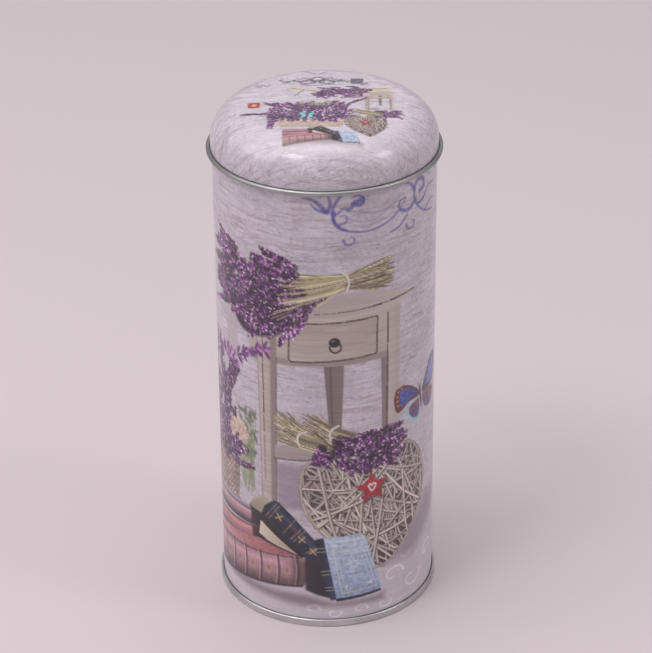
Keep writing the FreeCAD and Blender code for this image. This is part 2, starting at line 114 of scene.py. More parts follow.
class PrintedSheet:
    """A picture printed on flat tinplate, drawn in millimetres across and up."""

    def __init__(self, left, right, low, high, pitch, seed):
        self.left, self.low, self.pitch = left, low, pitch
        self.nx = int(round((right - left) / pitch)) + 1
        self.ny = int(round((high - low) / pitch)) + 1
        self.ink = np.zeros((self.ny, self.nx, 3), np.float32)
        self.flower = np.zeros((self.ny, self.nx), np.float32)
        self.rng = np.random.default_rng(seed)
        wide, tall = right - left, high - low
        shape = (self.ny, self.nx)
        self.fine = cloud(self.rng, shape, (tall / 0.9, wide / 0.9), 2)
        self.grain = cloud(self.rng, shape, (tall / 0.9, wide / 14), 3)
        self.mottle = cloud(self.rng, shape, (tall / 8, wide / 10), 3)
        self.place()

    def place(self, across=0.0, up=0.0, scale=1.0, squeeze=1.0):
        """Where the next motif is drawn, and how large."""
        self.across, self.up, self.scale, self.squeeze = across, up, scale, squeeze

    def put(self, points):
        p = np.array(points, float)
        return np.stack([self.across + p[:, 0] * self.scale,
                         self.up + p[:, 1] * self.scale * self.squeeze], 1)

    def window(self, x0, x1, y0, y1):
        """The part of the sheet inside these limits: its rows, columns and dot places."""
        i0 = max(0, int((x0 - self.left) / self.pitch))
        i1 = min(self.nx, int((x1 - self.left) / self.pitch) + 2)
        j0 = max(0, int((y0 - self.low) / self.pitch))
        j1 = min(self.ny, int((y1 - self.low) / self.pitch) + 2)
        if i0 >= i1 or j0 >= j1:
            return None
        x = (self.left + self.pitch * np.arange(i0, i1, dtype=np.float32))[None, :]
        y = (self.low + self.pitch * np.arange(j0, j1, dtype=np.float32))[:, None]
        return slice(j0, j1), slice(i0, i1), x, y

    def around(self, p, pad):
        return self.window(p[:, 0].min() - pad, p[:, 0].max() + pad,
                           p[:, 1].min() - pad, p[:, 1].max() + pad)

    def lay(self, area, cover, colour, flower=0.0):
        """Print one colour through a mask of cover, 0 to 1."""
        here = area[:2]
        self.flower[here] = self.flower[here] * (1 - cover) + flower * cover
        cover = cover[..., None]
        self.ink[here] = self.ink[here] * (1 - cover) + np.asarray(colour, np.float32) * cover

    def stroke(self, points, width, colour, edge=None, end=None, soft=0.2, cover=1.0,
               flower=0.0, rough=0.0):
        """A line of a given width; it can taper to a second width and have darker edges."""
        p = self.put(points)
        w0 = 0.5 * width * self.scale
        w1 = w0 if end is None else 0.5 * end * self.scale
        area = self.around(p, max(w0, w1) + soft)
        if area is None:
            return
        x, y = area[2:]
        best = np.full((y.shape[0], x.shape[1]), FAR, np.float32)
        along = np.zeros_like(best)
        spans = len(p) - 1
        for k in range(spans):
            away, t = off_line(x, y, p[k], p[k + 1])
            along = np.where(away < best, (k + t) / spans, along)
            best = np.minimum(best, away)
        worn = rough * self.fine[area[:2]]
        half = (w0 + (w1 - w0) * along) * (1 + worn)
        mask = np.clip((half - best) / soft + 0.5, 0, 1) * cover
        if rough:
            mask *= np.clip(1 - 1.2 * worn, 0.1, 1)
        if edge is not None:
            core = np.clip(1 - (best / np.maximum(half, 1e-3)) ** 2, 0, 1)[..., None]
            colour = (np.asarray(edge, np.float32) * (1 - core)
                      + np.asarray(colour, np.float32) * core)
        self.lay(area, mask, colour, flower)

    def patch(self, points, colour, second=None, toward=(0, 1), soft=0.25, cover=1.0,
              texture=0.0, streak=0.0):
        """A filled shape; its colour can run to a second one across it."""
        p = self.put(points)
        area = self.around(p, soft)
        if area is None:
            return
        x, y = area[2:]
        best = np.full((y.shape[0], x.shape[1]), FAR, np.float32)
        inside = np.zeros(best.shape, bool)
        for a, b in zip(p, np.roll(p, -1, 0)):
            best = np.minimum(best, off_line(x, y, a, b)[0])
            dx, dy = b - a
            if abs(dy) > TINY:
                inside ^= ((a[1] > y) != (b[1] > y)) & (x < a[0] + (y - a[1]) * dx / dy)
        mask = np.clip(np.where(inside, best, -best) / soft + 0.5, 0, 1) * cover
        fill = np.asarray(colour, np.float32)
        if second is not None:
            run = x * toward[0] + y * toward[1]
            run = ((run - run.min()) / max(float(run.max() - run.min()), 1e-6))[..., None]
            fill = fill * (1 - run) + np.asarray(second, np.float32) * run
        shade = 1 + texture * self.fine[area[:2]] + streak * self.grain[area[:2]]
        self.lay(area, mask, np.clip(fill * shade[..., None], 0, 1))

    def dab(self, x, y, long, wide, angle, colour, soft=0.16, cover=1.0, flower=0.0):
        """One small leaf or petal: a soft ellipse."""
        cx = self.across + x * self.scale
        cy = self.up + y * self.scale * self.squeeze
        a, b = long * self.scale, wide * self.scale
        reach = max(a, b) + soft
        area = self.window(cx - reach, cx + reach, cy - reach, cy + reach)
        if area is None:
            return
        c, s = math.cos(angle), math.sin(angle)
        x, y = area[2] - cx, area[3] - cy
        r = np.sqrt(((x * c + y * s) / a) ** 2 + ((y * c - x * s) / b) ** 2)
        mask = np.clip((1 - r) * min(a, b) / soft + 0.5, 0, 1) * cover
        self.lay(area, mask, colour, flower)

    def at(self, x, y):
        """Linear colours and the flower mask at points on the sheet."""
        u = np.clip((np.asarray(x) - self.left) / self.pitch, 0, self.nx - 1.001)
        v = np.clip((np.asarray(y) - self.low) / self.pitch, 0, self.ny - 1.001)
        i, j = u.astype(int), v.astype(int)
        fu, fv = (u - i)[:, None], (v - j)[:, None]
        stack = np.concatenate([self.ink, self.flower[..., None]], 2)
        low = stack[j, i] * (1 - fu) + stack[j, i + 1] * fu
        top = stack[j + 1, i] * (1 - fu) + stack[j + 1, i + 1] * fu
        value = low * (1 - fv) + top * fv
        return np.concatenate([linear(value[:, :3]), value[:, 3:]], 1)


PURPLES = [(0.18, 0.07, 0.19), (0.34, 0.16, 0.37), (0.53, 0.30, 0.56),
           (0.70, 0.48, 0.73), (0.93, 0.80, 0.93)]
PURPLE_SHARES = (0.26, 0.48, 0.68, 0.85)
STRAWS = [(0.46, 0.39, 0.33), (0.77, 0.70, 0.59), (0.94, 0.88, 0.77), (0.67, 0.65, 0.49)]


def toned(colour, tone):
    """A colour made lighter or darker."""
    return [v * tone for v in colour]


def lavender_spike(sheet, x, y, angle, length, dark=0.0):
    """A flower spike drawn from its stem end: whorls of small florets, dark to light."""
    rng = sheet.rng
    c, s = math.cos(angle), math.sin(angle)
    whorls = max(3, int(length / 1.05))
    sheet.stroke([(x, y), (x + c * length, y + s * length)], 2.7, (0.19, 0.09, 0.19), soft=0.5,
                 cover=0.55, flower=1.0, end=1.4)
    bloom = rng.uniform(0.78, 1.18)
    for k in range(whorls):
        t = (k + 0.5) / whorls
        girth = 1.5 * (1 - 0.55 * t ** 2)
        for _ in range(6):
            side = rng.uniform(-1, 1) * girth
            jump = rng.uniform(-0.6, 0.6)
            px = x + c * (t * length + jump) - s * side
            py = y + s * (t * length + jump) + c * side
            pick = rng.random() - 0.12 * dark + 0.09 * (side * c > 0)
            tone = sum(pick > share for share in PURPLE_SHARES)
            shade = rng.uniform(0.86, 1.1)
            turn = angle + rng.uniform(-1.0, 1.0)
            size = rng.uniform(0.8, 1.25) * (1.0 if tone < 4 else 0.85)
            sheet.dab(px, py, 0.56 * size, 0.33 * size, turn,
                      toned(PURPLES[tone], shade * bloom), flower=1.0)
        if rng.random() < 0.10:
            sheet.dab(x + c * t * length, y + s * t * length, 0.45, 0.25, angle,
                      (0.50, 0.46, 0.38), flower=0.4)


def ruled(sheet, points, width, colour, **ways):
    """A straight-sided line, each side drawn on its own."""
    for side in zip(points, points[1:]):
        sheet.stroke(side, width, colour, **ways)


def wicker(sheet, rows, x0, x1, y0, rise, strand, colour, tones, cover, dim=0.0):
    """Rows of short woven strands, every second row shifted; the right end can be dimmer."""
    step, shift, long, wide, lean = strand
    for row in range(rows):
        x = x0 + (row % 2) * shift
        while x < x1:
            tone = sheet.rng.uniform(*tones) * (1.0 - 0.15 * (x > x1 - dim))
            sheet.dab(x, y0 + row * rise, long, wide, lean, toned(colour, tone), cover=cover)
            x += step


def draw(rng, value):
    """A fixed value, or a random one between two."""
    return rng.uniform(*value) if isinstance(value, tuple) else value


def spikes(sheet, count, across, up, angle, length, dark=0.0):
    """Flower spikes spread at random; each measure is a value or a range."""
    for _ in range(count):
        measures = [draw(sheet.rng, value) for value in (across, up, angle, length, dark)]
        lavender_spike(sheet, *measures)


def stems(sheet, count, start, end, width, soft=0.2, cover=0.9):
    """Straw stems from about one place to about another; up can follow a shared sway."""
    rng = sheet.rng
    for _ in range(count):
        sway = rng.uniform(-1, 1)
        ends = [(draw(rng, x), up + sway * reach) for x, up, reach in (start, end)]
        sheet.stroke(ends, width, STRAWS[rng.integers(0, 4)], soft=soft, cover=cover)


def top_first(heads):
    """The lowest heads are painted last, over the ones behind."""
    return sorted(heads, key=lambda head: -head[1])


def straw_fan(sheet, tie, start, end, count, spread, width=0.45):
    """Stems that gather at a tie and fan out past it, over a mass of paler straw."""
    rng = sheet.rng
    away = 1 if end[0] > tie[0] else -1
    mass = [(start[0], start[1] + spread[0] * 0.8), (tie[0], tie[1] + spread[1] * 0.9),
            (end[0] - 6 * away, end[1] + spread[2] * 0.8),
            (end[0] - 6 * away, end[1] - spread[2] * 0.8),
            (tie[0], tie[1] - spread[1] * 0.9), (start[0], start[1] - spread[0] * 0.8)]
    sheet.patch(mass, (0.72, 0.65, 0.52), soft=1.4, texture=0.2, cover=0.8)
    for k in range(count):
        a = rng.uniform(-1, 1)
        b = np.clip(a + rng.normal(0, 0.3), -1.1, 1.1)
        p0 = (start[0] + rng.uniform(-1, 1), start[1] + a * spread[0])
        p1 = (tie[0], tie[1] + a * spread[1])
        p2 = (end[0] + away * rng.uniform(-6.5, 1.2), end[1] + b * spread[2] + rng.normal(0, 0.3))
        colour = STRAWS[rng.integers(0, 4)]
        shade = rng.uniform(0.74, 1.14)
        sheet.stroke([p0, p1, p2], width * rng.uniform(0.6, 1.25), toned(colour, shade),
                     edge=toned(colour, shade * 0.78), soft=0.16, end=width * 0.6)
        if k % 5 == 0:
            sheet.stroke([p0, p1, p2], width * 0.4, (0.36, 0.28, 0.24), soft=0.14, cover=0.6,
                         end=width * 0.3)


def string_tie(sheet, points):
    """A turn of pale string round the stems."""
    sheet.stroke(smooth_line(points, 6), 0.9, (0.9, 0.88, 0.86), edge=(0.7, 0.67, 0.66))


def wood_swirls(sheet, knots, colour, cover):
    """Grain that bends round knots: nested, broken curves."""
    rng = sheet.rng
    for x, y, wide, tall, turn, rings in knots:
        for k in range(rings):
            reach = (k + 0.7) / rings
            start = rng.uniform(0, 6.28)
            while start < 12.4:
                span = rng.uniform(0.5, 2.0)
                line = []
                for a in np.linspace(start, start + span, 9):
                    wob = 1 + 0.05 * math.sin(3 * a + k)
                    px, py = wide * reach * wob * math.cos(a), tall * reach * wob * math.sin(a)
                    line.append((x + px * math.cos(turn) - py * math.sin(turn),
                                 y + px * math.sin(turn) + py * math.cos(turn)))
                sheet.stroke(line, rng.uniform(0.2, 0.5), colour, soft=0.3,
                             cover=cover * rng.uniform(0.3, 1.0), end=0.12)
                start += span + rng.uniform(0.1, 1.2)


def whitewashed_boards(sheet, base, joints):
    """Pale lilac paint rubbed over wood: streaks along the grain, joints, specks."""
    rng = sheet.rng
    tone = 1 + 0.055 * sheet.grain + 0.03 * sheet.mottle + 0.05 * sheet.fine
    sheet.ink[:] = np.asarray(base, np.float32) * tone[..., None]
    rubbed = np.clip(sheet.grain * 1.1 + sheet.mottle * 0.6 - 0.5, 0, 1)[..., None]
    sheet.ink[:] = sheet.ink * (1 - 0.45 * rubbed) + 0.45 * rubbed * np.float32([0.55, 0.49, 0.52])
    high = np.clip(-sheet.grain * 1.1 + sheet.mottle * 0.6 - 0.45, 0, 1)[..., None]
    sheet.ink[:] = sheet.ink * (1 - 0.55 * high) + 0.55 * high * np.float32([0.89, 0.86, 0.90])
    right = sheet.left + sheet.nx * sheet.pitch
    top = sheet.low + sheet.ny * sheet.pitch
    for joint in joints:
        x = sheet.left
        while x < right:
            run = rng.uniform(8, 40)
            y = joint + rng.uniform(-0.35, 0.35)
            line = smooth_line([(x, y), (x + run * 0.5, y + rng.uniform(-0.3, 0.3)),
                                (x + run, y + rng.uniform(-0.3, 0.3))], 5)
            sheet.stroke(line, rng.uniform(0.2, 0.7), (0.50, 0.44, 0.47), soft=0.4,
                         cover=rng.uniform(0.15, 0.5), end=0.15)
            x += run * rng.uniform(0.8, 1.4)
    for _ in range(int((right - sheet.left) * (top - sheet.low) / 5)):
        x, y = rng.uniform(sheet.left, right), rng.uniform(sheet.low, top)
        run = 0.5 + 6 * rng.random() ** 2.5
        colour = (0.42, 0.36, 0.40) if rng.random() < 0.52 else (0.93, 0.90, 0.94)
        bend = rng.uniform(-0.5, 0.5)
        sheet.stroke([(x, y), (x + run * 0.5, y + bend), (x + run, y + bend * 0.5)],
                     rng.uniform(0.16, 0.42), colour, soft=0.22, cover=rng.uniform(0.15, 0.6),
                     end=0.1)


def scrollwork(sheet, strokes, colour, cover):
    """Worn scrolls; each has its line, its width and the width of its tip."""
    for line, width, tip in strokes:
        sheet.stroke(smooth_line(line, 9), width, colour, soft=0.5, cover=cover, end=tip,
                     rough=0.35)


def woven_heart(sheet):
    """Heart of white-painted willow, woven in loose layers."""
    rng = sheet.rng
    half = [(0, 13.6), (3.2, 18.2), (8.5, 21.6), (15, 22.2), (21, 19.2), (25.3, 13.4),
            (26.8, 5.5), (25.5, -4), (20, -13), (12, -21), (4.5, -27), (0, -29.4)]
    outline = half + [(-x * 0.98, y) for x, y in reversed(half[1:-1])]
    outline = [(17 + x * 1.0 + y * -0.14, 52 + y) for x, y in outline]
    outline = smooth_line(outline + outline[:1], 5)
    sheet.patch(outline, (0.26, 0.21, 0.22), (0.36, 0.30, 0.31), texture=0.2)
    poly = np.array(outline)
    middle = poly.mean(0)

    def inside(q):
        x, y = q
        hits = False
        for k in range(len(poly)):
            a, b = poly[k], poly[(k + 1) % len(poly)]
            if (a[1] > y) != (b[1] > y) and x < a[0] + (y - a[1]) * (b[0] - a[0]) / (b[1] - a[1]):
                hits = not hits
        return hits

    for layer in range(4):
        for _ in range(58):
            angle = rng.uniform(0, math.pi)
            if layer and rng.random() < 0.5:
                angle = rng.normal(math.pi * 0.62, 0.5)
            centre = middle + rng.uniform(-1, 1, 2) * (25, 24)
            step = np.array([math.cos(angle), math.sin(angle)])
            if not inside(centre):
                continue
            ends = []
            for way in (1, -1):
                q = centre.copy()
                limit = rng.uniform(7, 26)
                gone = 0.0
                while gone < limit and inside(q + step * way):
                    q = q + step * way * 0.8
                    gone += 0.8
                ends.append(q)
            bow = np.array([-step[1], step[0]]) * rng.uniform(-1.6, 1.6)
            tone = rng.uniform(0.85, 1.1) * (0.78 + 0.08 * layer)
            light = toned((0.88, 0.84, 0.815), tone)
            dark = toned((0.50, 0.44, 0.425), tone)
            line = smooth_line([ends[0], centre + bow, ends[1]], 6)
            wide = rng.uniform(0.65, 1.15)
            sheet.stroke([(px + 0.3, py - 0.4) for px, py in line], wide, (0.22, 0.17, 0.18),
                         soft=0.4, cover=0.65)
            sheet.stroke(line, wide, light, edge=dark, soft=0.2)
    for k in range(0, len(outline) - 1, 3):
        a = np.array(outline[k])
        b = np.array(outline[min(k + 7, len(outline) - 1)])
        push = (a + b) / 2 - middle
        push /= max(np.hypot(*push), 1e-6)
        tone = rng.uniform(0.88, 1.05)
        sheet.stroke(smooth_line([a, (a + b) / 2 + push * rng.uniform(0.0, 0.9), b], 5),
                     rng.uniform(0.7, 1.2), toned((0.76, 0.715, 0.69), tone),
                     edge=toned((0.45, 0.39, 0.375), tone))


def felt_star(sheet, x, y, size):
    """A five-pointed star with seams to its points and a small heart stitched on."""
    points = []
    for k in range(10):
        reach = size if k % 2 == 0 else size * 0.46
        a = math.radians(90 + 36 * k + 4)
        points.append((x + reach * math.cos(a), y + reach * math.sin(a)))
    sheet.patch([(px + 0.5, py - 0.8) for px, py in points], (0.25, 0.18, 0.2), soft=1.2,
                cover=0.7)
    sheet.patch(points, (0.62, 0.15, 0.21), (0.74, 0.22, 0.28), texture=0.1)
    for k in range(5):
        a = math.radians(90 + 72 * k + 4)
        sheet.stroke([(x, y), (x + size * 0.8 * math.cos(a), y + size * 0.8 * math.sin(a))], 0.3,
                     (0.5, 0.12, 0.18), cover=0.5)
    sheet.stroke(smooth_line([(x - 1.5, y + 0.9), (x - 0.7, y + 1.7), (x, y + 0.9),
                              (x + 0.7, y + 1.7), (x + 1.5, y + 0.9), (x, y - 1.4),
                              (x - 1.5, y + 0.9)], 5), 0.7, (0.93, 0.84, 0.84))


def half_moon_table(sheet):
    """Painted side table with a rounded top, one drawer and tapering legs."""
    pale = (0.72, 0.665, 0.645)
    light = (0.77, 0.72, 0.70)
    shade = (0.53, 0.475, 0.465)
    line = (0.27, 0.21, 0.215)
    sheet.patch([(-44, 128), (-36, 128), (-37, 100), (-43, 100)], (0.72, 0.68, 0.69), soft=1.2,
                cover=0.7)
    sheet.patch([(-1, 112), (6.4, 112), (5.4, 85), (0.8, 85)], (0.47, 0.42, 0.42), shade,
                toward=(1, 0))
    sheet.stroke([(1.4, 111), (2.0, 86)], 0.7, (0.36, 0.31, 0.31), cover=0.6)
    sheet.patch([(20.4, 112), (23.8, 112), (23.4, 74), (21, 74)], shade, (0.58, 0.52, 0.51),
                toward=(1, 0))
    sheet.patch([(-30, 131.5), (28.6, 131.8), (28.2, 112), (-30, 109.5)], pale, light,
                toward=(0, 1), streak=0.03)
    sheet.patch([(-30, 112.6), (28.2, 114.0), (28.2, 112), (-30, 109.5)], shade, cover=0.55,
                soft=0.9)
    sheet.patch([(-26.6, 124), (-18.4, 122), (-19.4, 49), (-25.0, 49)], (0.70, 0.645, 0.63),
                light, toward=(-1, 0), streak=0.04)
    sheet.patch([(-20.8, 122), (-18.2, 122), (-19.2, 49), (-21.4, 49)], shade, cover=0.8,
                soft=0.7)
    sheet.stroke([(-18.3, 112), (-19.3, 49)], 0.4, line, cover=0.6, rough=0.6)
    sheet.stroke([(-26.5, 120), (-25.2, 49)], 0.4, shade, cover=0.8, rough=0.4)
    sheet.patch([(23.3, 131), (28.7, 131), (27.8, 70), (24.2, 70)], light, pale, toward=(1, 0),
                streak=0.03)
    sheet.patch(smooth_line([(-20, 134.2), (-4, 136.4), (5, 139.2), (16, 139.6), (24, 137.4),
                             (34.8, 134.4), (34.8, 133.4), (20, 132.6), (0, 131.6)], 4),
                (0.66, 0.60, 0.59), (0.78, 0.74, 0.73), toward=(1, 0.6))
    sheet.patch([(-12, 133.8), (6, 134.0), (34.9, 134.7), (35.0, 132.9), (29, 131.2), (2, 130.2),
                 (-12, 129.6)], (0.70, 0.64, 0.63), (0.79, 0.74, 0.73), toward=(1, 0))
    rng = sheet.rng
    x = -4.0
    while x < 34:
        run = rng.uniform(0.8, 3.2)
        y = 131.6 + (x + 4) * 0.07
        sheet.stroke([(x, y), (x + run, y + run * 0.07)], rng.uniform(0.3, 0.7), line,
                     cover=rng.uniform(0.6, 0.95))
        x += run + rng.uniform(0.3, 1.0)
    frame_line = [(-13.4, 127.6), (-6, 127.8), (18.4, 128.9), (18.9, 128.2), (18.6, 114.6),
                  (18.0, 113.9), (-12.6, 112.0), (-13.6, 112.8), (-13.3, 127.6)]
    sheet.patch(frame_line, (0.74, 0.69, 0.67), (0.69, 0.63, 0.615), streak=0.05)
    ruled(sheet, frame_line, 0.62, line, cover=0.92, rough=0.5)
    for x0, x1, lo, hi in ((-24.2, -23.9, 62, 121), (23.1, 22.6, 76, 129)):
        y = hi
        while y > lo:
            run = rng.uniform(3, 12)
            t = (hi - y) / (hi - lo)
            sheet.stroke([(x0 + (x1 - x0) * t, y), (x0 + (x1 - x0) * t + 0.1, y - run)],
                         rng.uniform(0.3, 0.6), line, cover=rng.uniform(0.6, 0.95))
            y -= run + rng.uniform(0.3, 1.6)
    sheet.dab(3.0, 120.4, 2.0, 1.9, 0, (0.16, 0.13, 0.15), soft=0.4)
    sheet.dab(2.5, 121.0, 0.6, 0.45, 0.5, (0.5, 0.47, 0.5))
    ring = [(3.3 + 2.0 * math.cos(a), 118.4 + 2.1 * math.sin(a))
            for a in np.linspace(0, 2 * math.pi, 22)]
    sheet.stroke(ring, 0.62, (0.2, 0.16, 0.18))
    sheet.patch([(-19.6, 76), (-4, 80), (0, 74.6), (-5, 71.8), (-19.6, 70.2)], (0.62, 0.57, 0.57),
                (0.70, 0.65, 0.64), streak=0.05)
    sheet.stroke([(-19.6, 70.4), (-8, 71.6), (-2, 72.8)], 0.6, line, cover=0.8, rough=0.5)


def table_bunch(sheet):
    """The large bunch lying across the table top, tied with string."""
    rng = sheet.rng
    for _ in range(46):
        y = rng.uniform(128, 152)
        lavender_spike(sheet, rng.uniform(-40, -36), y, math.pi + rng.uniform(-0.5, 0.35),
                       rng.uniform(8, 15), dark=0.6)
    for _ in range(16):
        x = rng.uniform(-44, -22)
        sheet.stroke([(x, 140 + rng.uniform(-9, 8)), (x + 16, 142 + rng.uniform(-3, 3))], 0.5,
                     STRAWS[rng.integers(0, 4)], soft=0.3, cover=0.8)
    straw_fan(sheet, (7.2, 144.3), (-18, 138), (24.9, 145.4), 210, (9.0, 3.0, 5.0), 0.36)
    sheet.patch(smooth_line([(-41, 131), (-36, 122), (-29, 119), (-17, 122), (-9, 130), (-5, 136),
                             (-13, 147), (-18, 150), (-27, 149), (-33, 141), (-41, 131)], 4),
                (0.22, 0.13, 0.25), (0.33, 0.22, 0.36), soft=1.6, texture=0.45)
    heads = []
    for _ in range(118):
        t = rng.random()
        x = -9 - 22 * t + rng.uniform(-3, 3)
        low = 136.5 - 13.5 * min(1.0, t * 1.5)
        high = 147.5 + 4.5 * math.sin(min(1.0, t * 1.35) * math.pi)
        heads.append((x, rng.uniform(low, high)))
    for x, y in top_first(heads):
        aim = math.atan2(y - 143.5, x - 9.5)
        lavender_spike(sheet, x, y, aim + rng.uniform(-0.22, 0.22), rng.uniform(6, 11),
                       dark=rng.uniform(-0.3, 0.9))
    for _ in range(17):
        a = rng.random()
        sheet.stroke([(-7 - 14 * a + rng.uniform(-2, 2), 131 - 3 * a + rng.uniform(-3, 3)),
                      (5.4, 142.4 + rng.uniform(-1.4, 1.0))], 0.32,
                     STRAWS[rng.integers(1, 4)], soft=0.16, cover=0.8)
    for x, y, angle, length in ((-12.5, 126.5, -2.05, 10), (-7.5, 130, -2.1, 10),
                                (-4.5, 135.5, -2.3, 9), (-9, 133.5, -2.3, 11),
                                (-16, 127, -2.2, 9), (-1, 138.4, -2.7, 8)):
        lavender_spike(sheet, x, y, angle, length)
    for _ in range(26):
        y = rng.uniform(-1, 1)
        sheet.stroke([(-14 + rng.uniform(-4, 4), 139 + y * 5), (6.5, 144.0 + y * 2.6)], 0.4,
                     STRAWS[rng.integers(1, 4)], soft=0.2, cover=0.85)
    string_tie(sheet, [(5.4, 148.2), (7.4, 146.6), (8.2, 143.6), (7.4, 140.6)])


def shelf_bunch(sheet):
    """A smaller bunch resting behind the heart, heads to the right."""
    rng = sheet.rng
    straw_fan(sheet, (-9.6, 81.6), (8, 76.6), (-18.6, 84.6), 170, (4.5, 5.2, 5.6))
    straw_fan(sheet, (2.0, 81.6), (14, 77), (-8, 86.4), 100, (4.0, 4.6, 4.4))
    string_tie(sheet, [(-7.6, 83.6), (-9.8, 82.6), (-10.8, 80.0), (-10.0, 77.8)])
    string_tie(sheet, [(4.2, 86.4), (1.8, 84.8), (1.0, 82.4), (1.6, 80.2)])
    spikes(sheet, 12, (-3, 2), (72, 77.5), (-2.6, -1.7), (3, 5))
    for x, v in top_first((rng.uniform(2, 25), rng.uniform(-1, 1)) for _ in range(82)):
        y = 75.5 + v * 6.4 * (1 - 0.010 * abs(x - 15))
        lavender_spike(sheet, x, y, rng.uniform(-0.75, 0.4) - 0.12, rng.uniform(4.5, 8.5),
                       dark=rng.uniform(-0.3, 0.9))
    spikes(sheet, 9, (13, 19), 71, (-1.9, -1.2), (3.5, 6.5), 0.5)


def butterfly(sheet):
    """Four wings in two tones round a slim body; its middle is the motif's origin."""
    blue, rim, edge = (0.36, 0.40, 0.70), (0.44, 0.25, 0.22), (0.62, 0.78, 0.80)

    def wing(points, *colours, **ways):
        sheet.patch(smooth_line(points + points[:1], 4), *colours, **ways)

    wing([(-14.2, 6.4), (-10.5, 7.2), (-5.5, 5.0), (-0.8, 0.8), (-1.6, -1.0), (-7, -0.8),
          (-12.4, -3.4), (-14.4, -1.4), (-14.9, 2.8)], rim, (0.36, 0.22, 0.25), toward=(1, 0),
         texture=0.15)
    wing([(-12.2, 4.9), (-9.8, 5.6), (-5.8, 3.9), (-1.8, 0.6), (-6.0, 0.2), (-11.0, -1.6),
          (-12.1, 1.4)], blue, (0.27, 0.30, 0.58), toward=(1, 0), texture=0.2)
    for k in range(5):
        a = 2.6 + 0.24 * k
        sheet.stroke([(-2.6, 0.8), (-2.6 + 9.6 * math.cos(a), 1.4 + 7.0 * math.sin(a))], 0.26,
                     (0.20, 0.19, 0.36), cover=0.7)
    wing([(-1.2, -1.0), (-7.6, -2.4), (-8.8, -5.6), (-5.6, -9.6), (-1.6, -10.2), (-0.4, -6)],
         edge, soft=0.9)
    wing([(-1.2, -1.6), (-6.6, -3.0), (-7.2, -5.6), (-4.8, -8.6), (-2.0, -9.0), (-0.8, -6)],
         (0.56, 0.30, 0.32), (0.31, 0.28, 0.54), toward=(0.3, -1), texture=0.2)
    wing([(0.8, 0.6), (3.5, 5.4), (8.0, 10.4), (12.6, 11.4), (14.4, 8.2), (13.0, 2.6),
          (10.6, -1.0), (3.0, -1.4)], (0.33, 0.26, 0.33), (0.42, 0.36, 0.48), toward=(1, 0),
         soft=0.8)
    wing([(2.2, 1.2), (5, 5.4), (8.8, 9.2), (11.6, 8.6), (11.2, 3.6), (8.8, 0.8)], blue,
         (0.52, 0.57, 0.80), toward=(1, 0), soft=0.8, texture=0.2)
    for k in range(5):
        a = 0.25 + 0.2 * k
        sheet.stroke([(2.0, 0.6), (2.0 + 11 * math.cos(a), 0.6 + 10 * math.sin(a))], 0.26,
                     (0.24, 0.22, 0.38), cover=0.6)
    wing([(1.2, -1.4), (9.4, -1.8), (12.2, -4.6), (9.8, -8.4), (5.0, -8.6), (1.4, -4.6)],
         (0.50, 0.33, 0.35), (0.33, 0.32, 0.56), toward=(0, -1), soft=0.8, texture=0.2)
    sheet.stroke([(-0.6, 2.4), (0.2, -3.6), (0.6, -6.4)], 1.1, (0.18, 0.14, 0.16), end=0.5)
    sheet.stroke([(-0.4, 2.2), (-2.0, 4.4)], 0.25, (0.2, 0.16, 0.18), cover=0.8)
    sheet.stroke([(-0.2, 2.2), (1.0, 4.8)], 0.25, (0.2, 0.16, 0.18), cover=0.8)
    for x, y in ((-12.9, 5.2), (-13.2, 3.4), (-13.3, 1.6), (-12.9, -0.4), (-11.2, 6.2)):
        sheet.dab(x, y, 0.42, 0.3, 0.3, (0.85, 0.66, 0.58))


def closed_book(sheet, spine, cover_colour, bands=0):
    """The rounded back of a book lying flat: a lit band along it, raised cords, dark edges.

    The back is given as its left end's foot and head, then its right end's foot and head."""
    (x0, low0), (_, high0), (x1, low1), (_, high1) = spine

    def spot(across, up):
        low = low0 + (low1 - low0) * across
        high = high0 + (high1 - high0) * across
        return x0 + (x1 - x0) * across, low + (high - low) * up

    dark = toned(cover_colour, 0.36)
    lit = [min(1.0, v * 1.35 + 0.04) for v in cover_colour]
    run = np.linspace(0, 0.97, 7)
    shape = [spot(a, 1) for a in run] + [spot(0.995, 0.8), spot(1.0, 0.5), spot(0.995, 0.2)]
    shape += [spot(a, 0) for a in run[::-1]]
    sheet.patch([(px, py - 0.8) for px, py in shape], (0.15, 0.10, 0.12), soft=0.8, cover=0.9)
    sheet.patch(shape, dark, cover_colour, texture=0.08, streak=0.05)
    tall = high0 - low0
    sheet.stroke([spot(a, 0.58) for a in run], tall * 0.60, cover_colour, soft=tall * 0.3,
                 cover=0.9, rough=0.1)
    sheet.stroke([spot(a, 0.74) for a in run[:-1]], tall * 0.16, lit, soft=tall * 0.2,
                 cover=0.62, rough=0.5)
    sheet.stroke([spot(a, 0.97) for a in run], 0.5, dark, cover=0.8)
    sheet.patch([spot(0.90, 0), spot(0.90, 1), spot(1.0, 0.8), spot(1.0, 0.2)], dark, soft=2.2,
                cover=0.55)
    for k in range(bands):
        across = 0.93 - k * 0.86 / bands
        cord = [spot(across + 0.012 * math.sin(v * math.pi), v) for v in np.linspace(0, 1, 8)]
        sheet.stroke(cord, 0.9, dark, soft=0.5, cover=0.75)
        sheet.stroke([(px - 0.8, py) for px, py in cord], 0.6, lit, soft=0.4, cover=0.4)
        x, y = spot(across - 0.43 / bands, 0.5)
        sheet.dab(x, y, 1.3, 2.2, 0, (0.78, 0.66, 0.50), soft=0.9, cover=0.4)
        sheet.dab(x, y, 0.6, 1.1, 0, toned(cover_colour, 0.75), soft=0.4, cover=0.8)


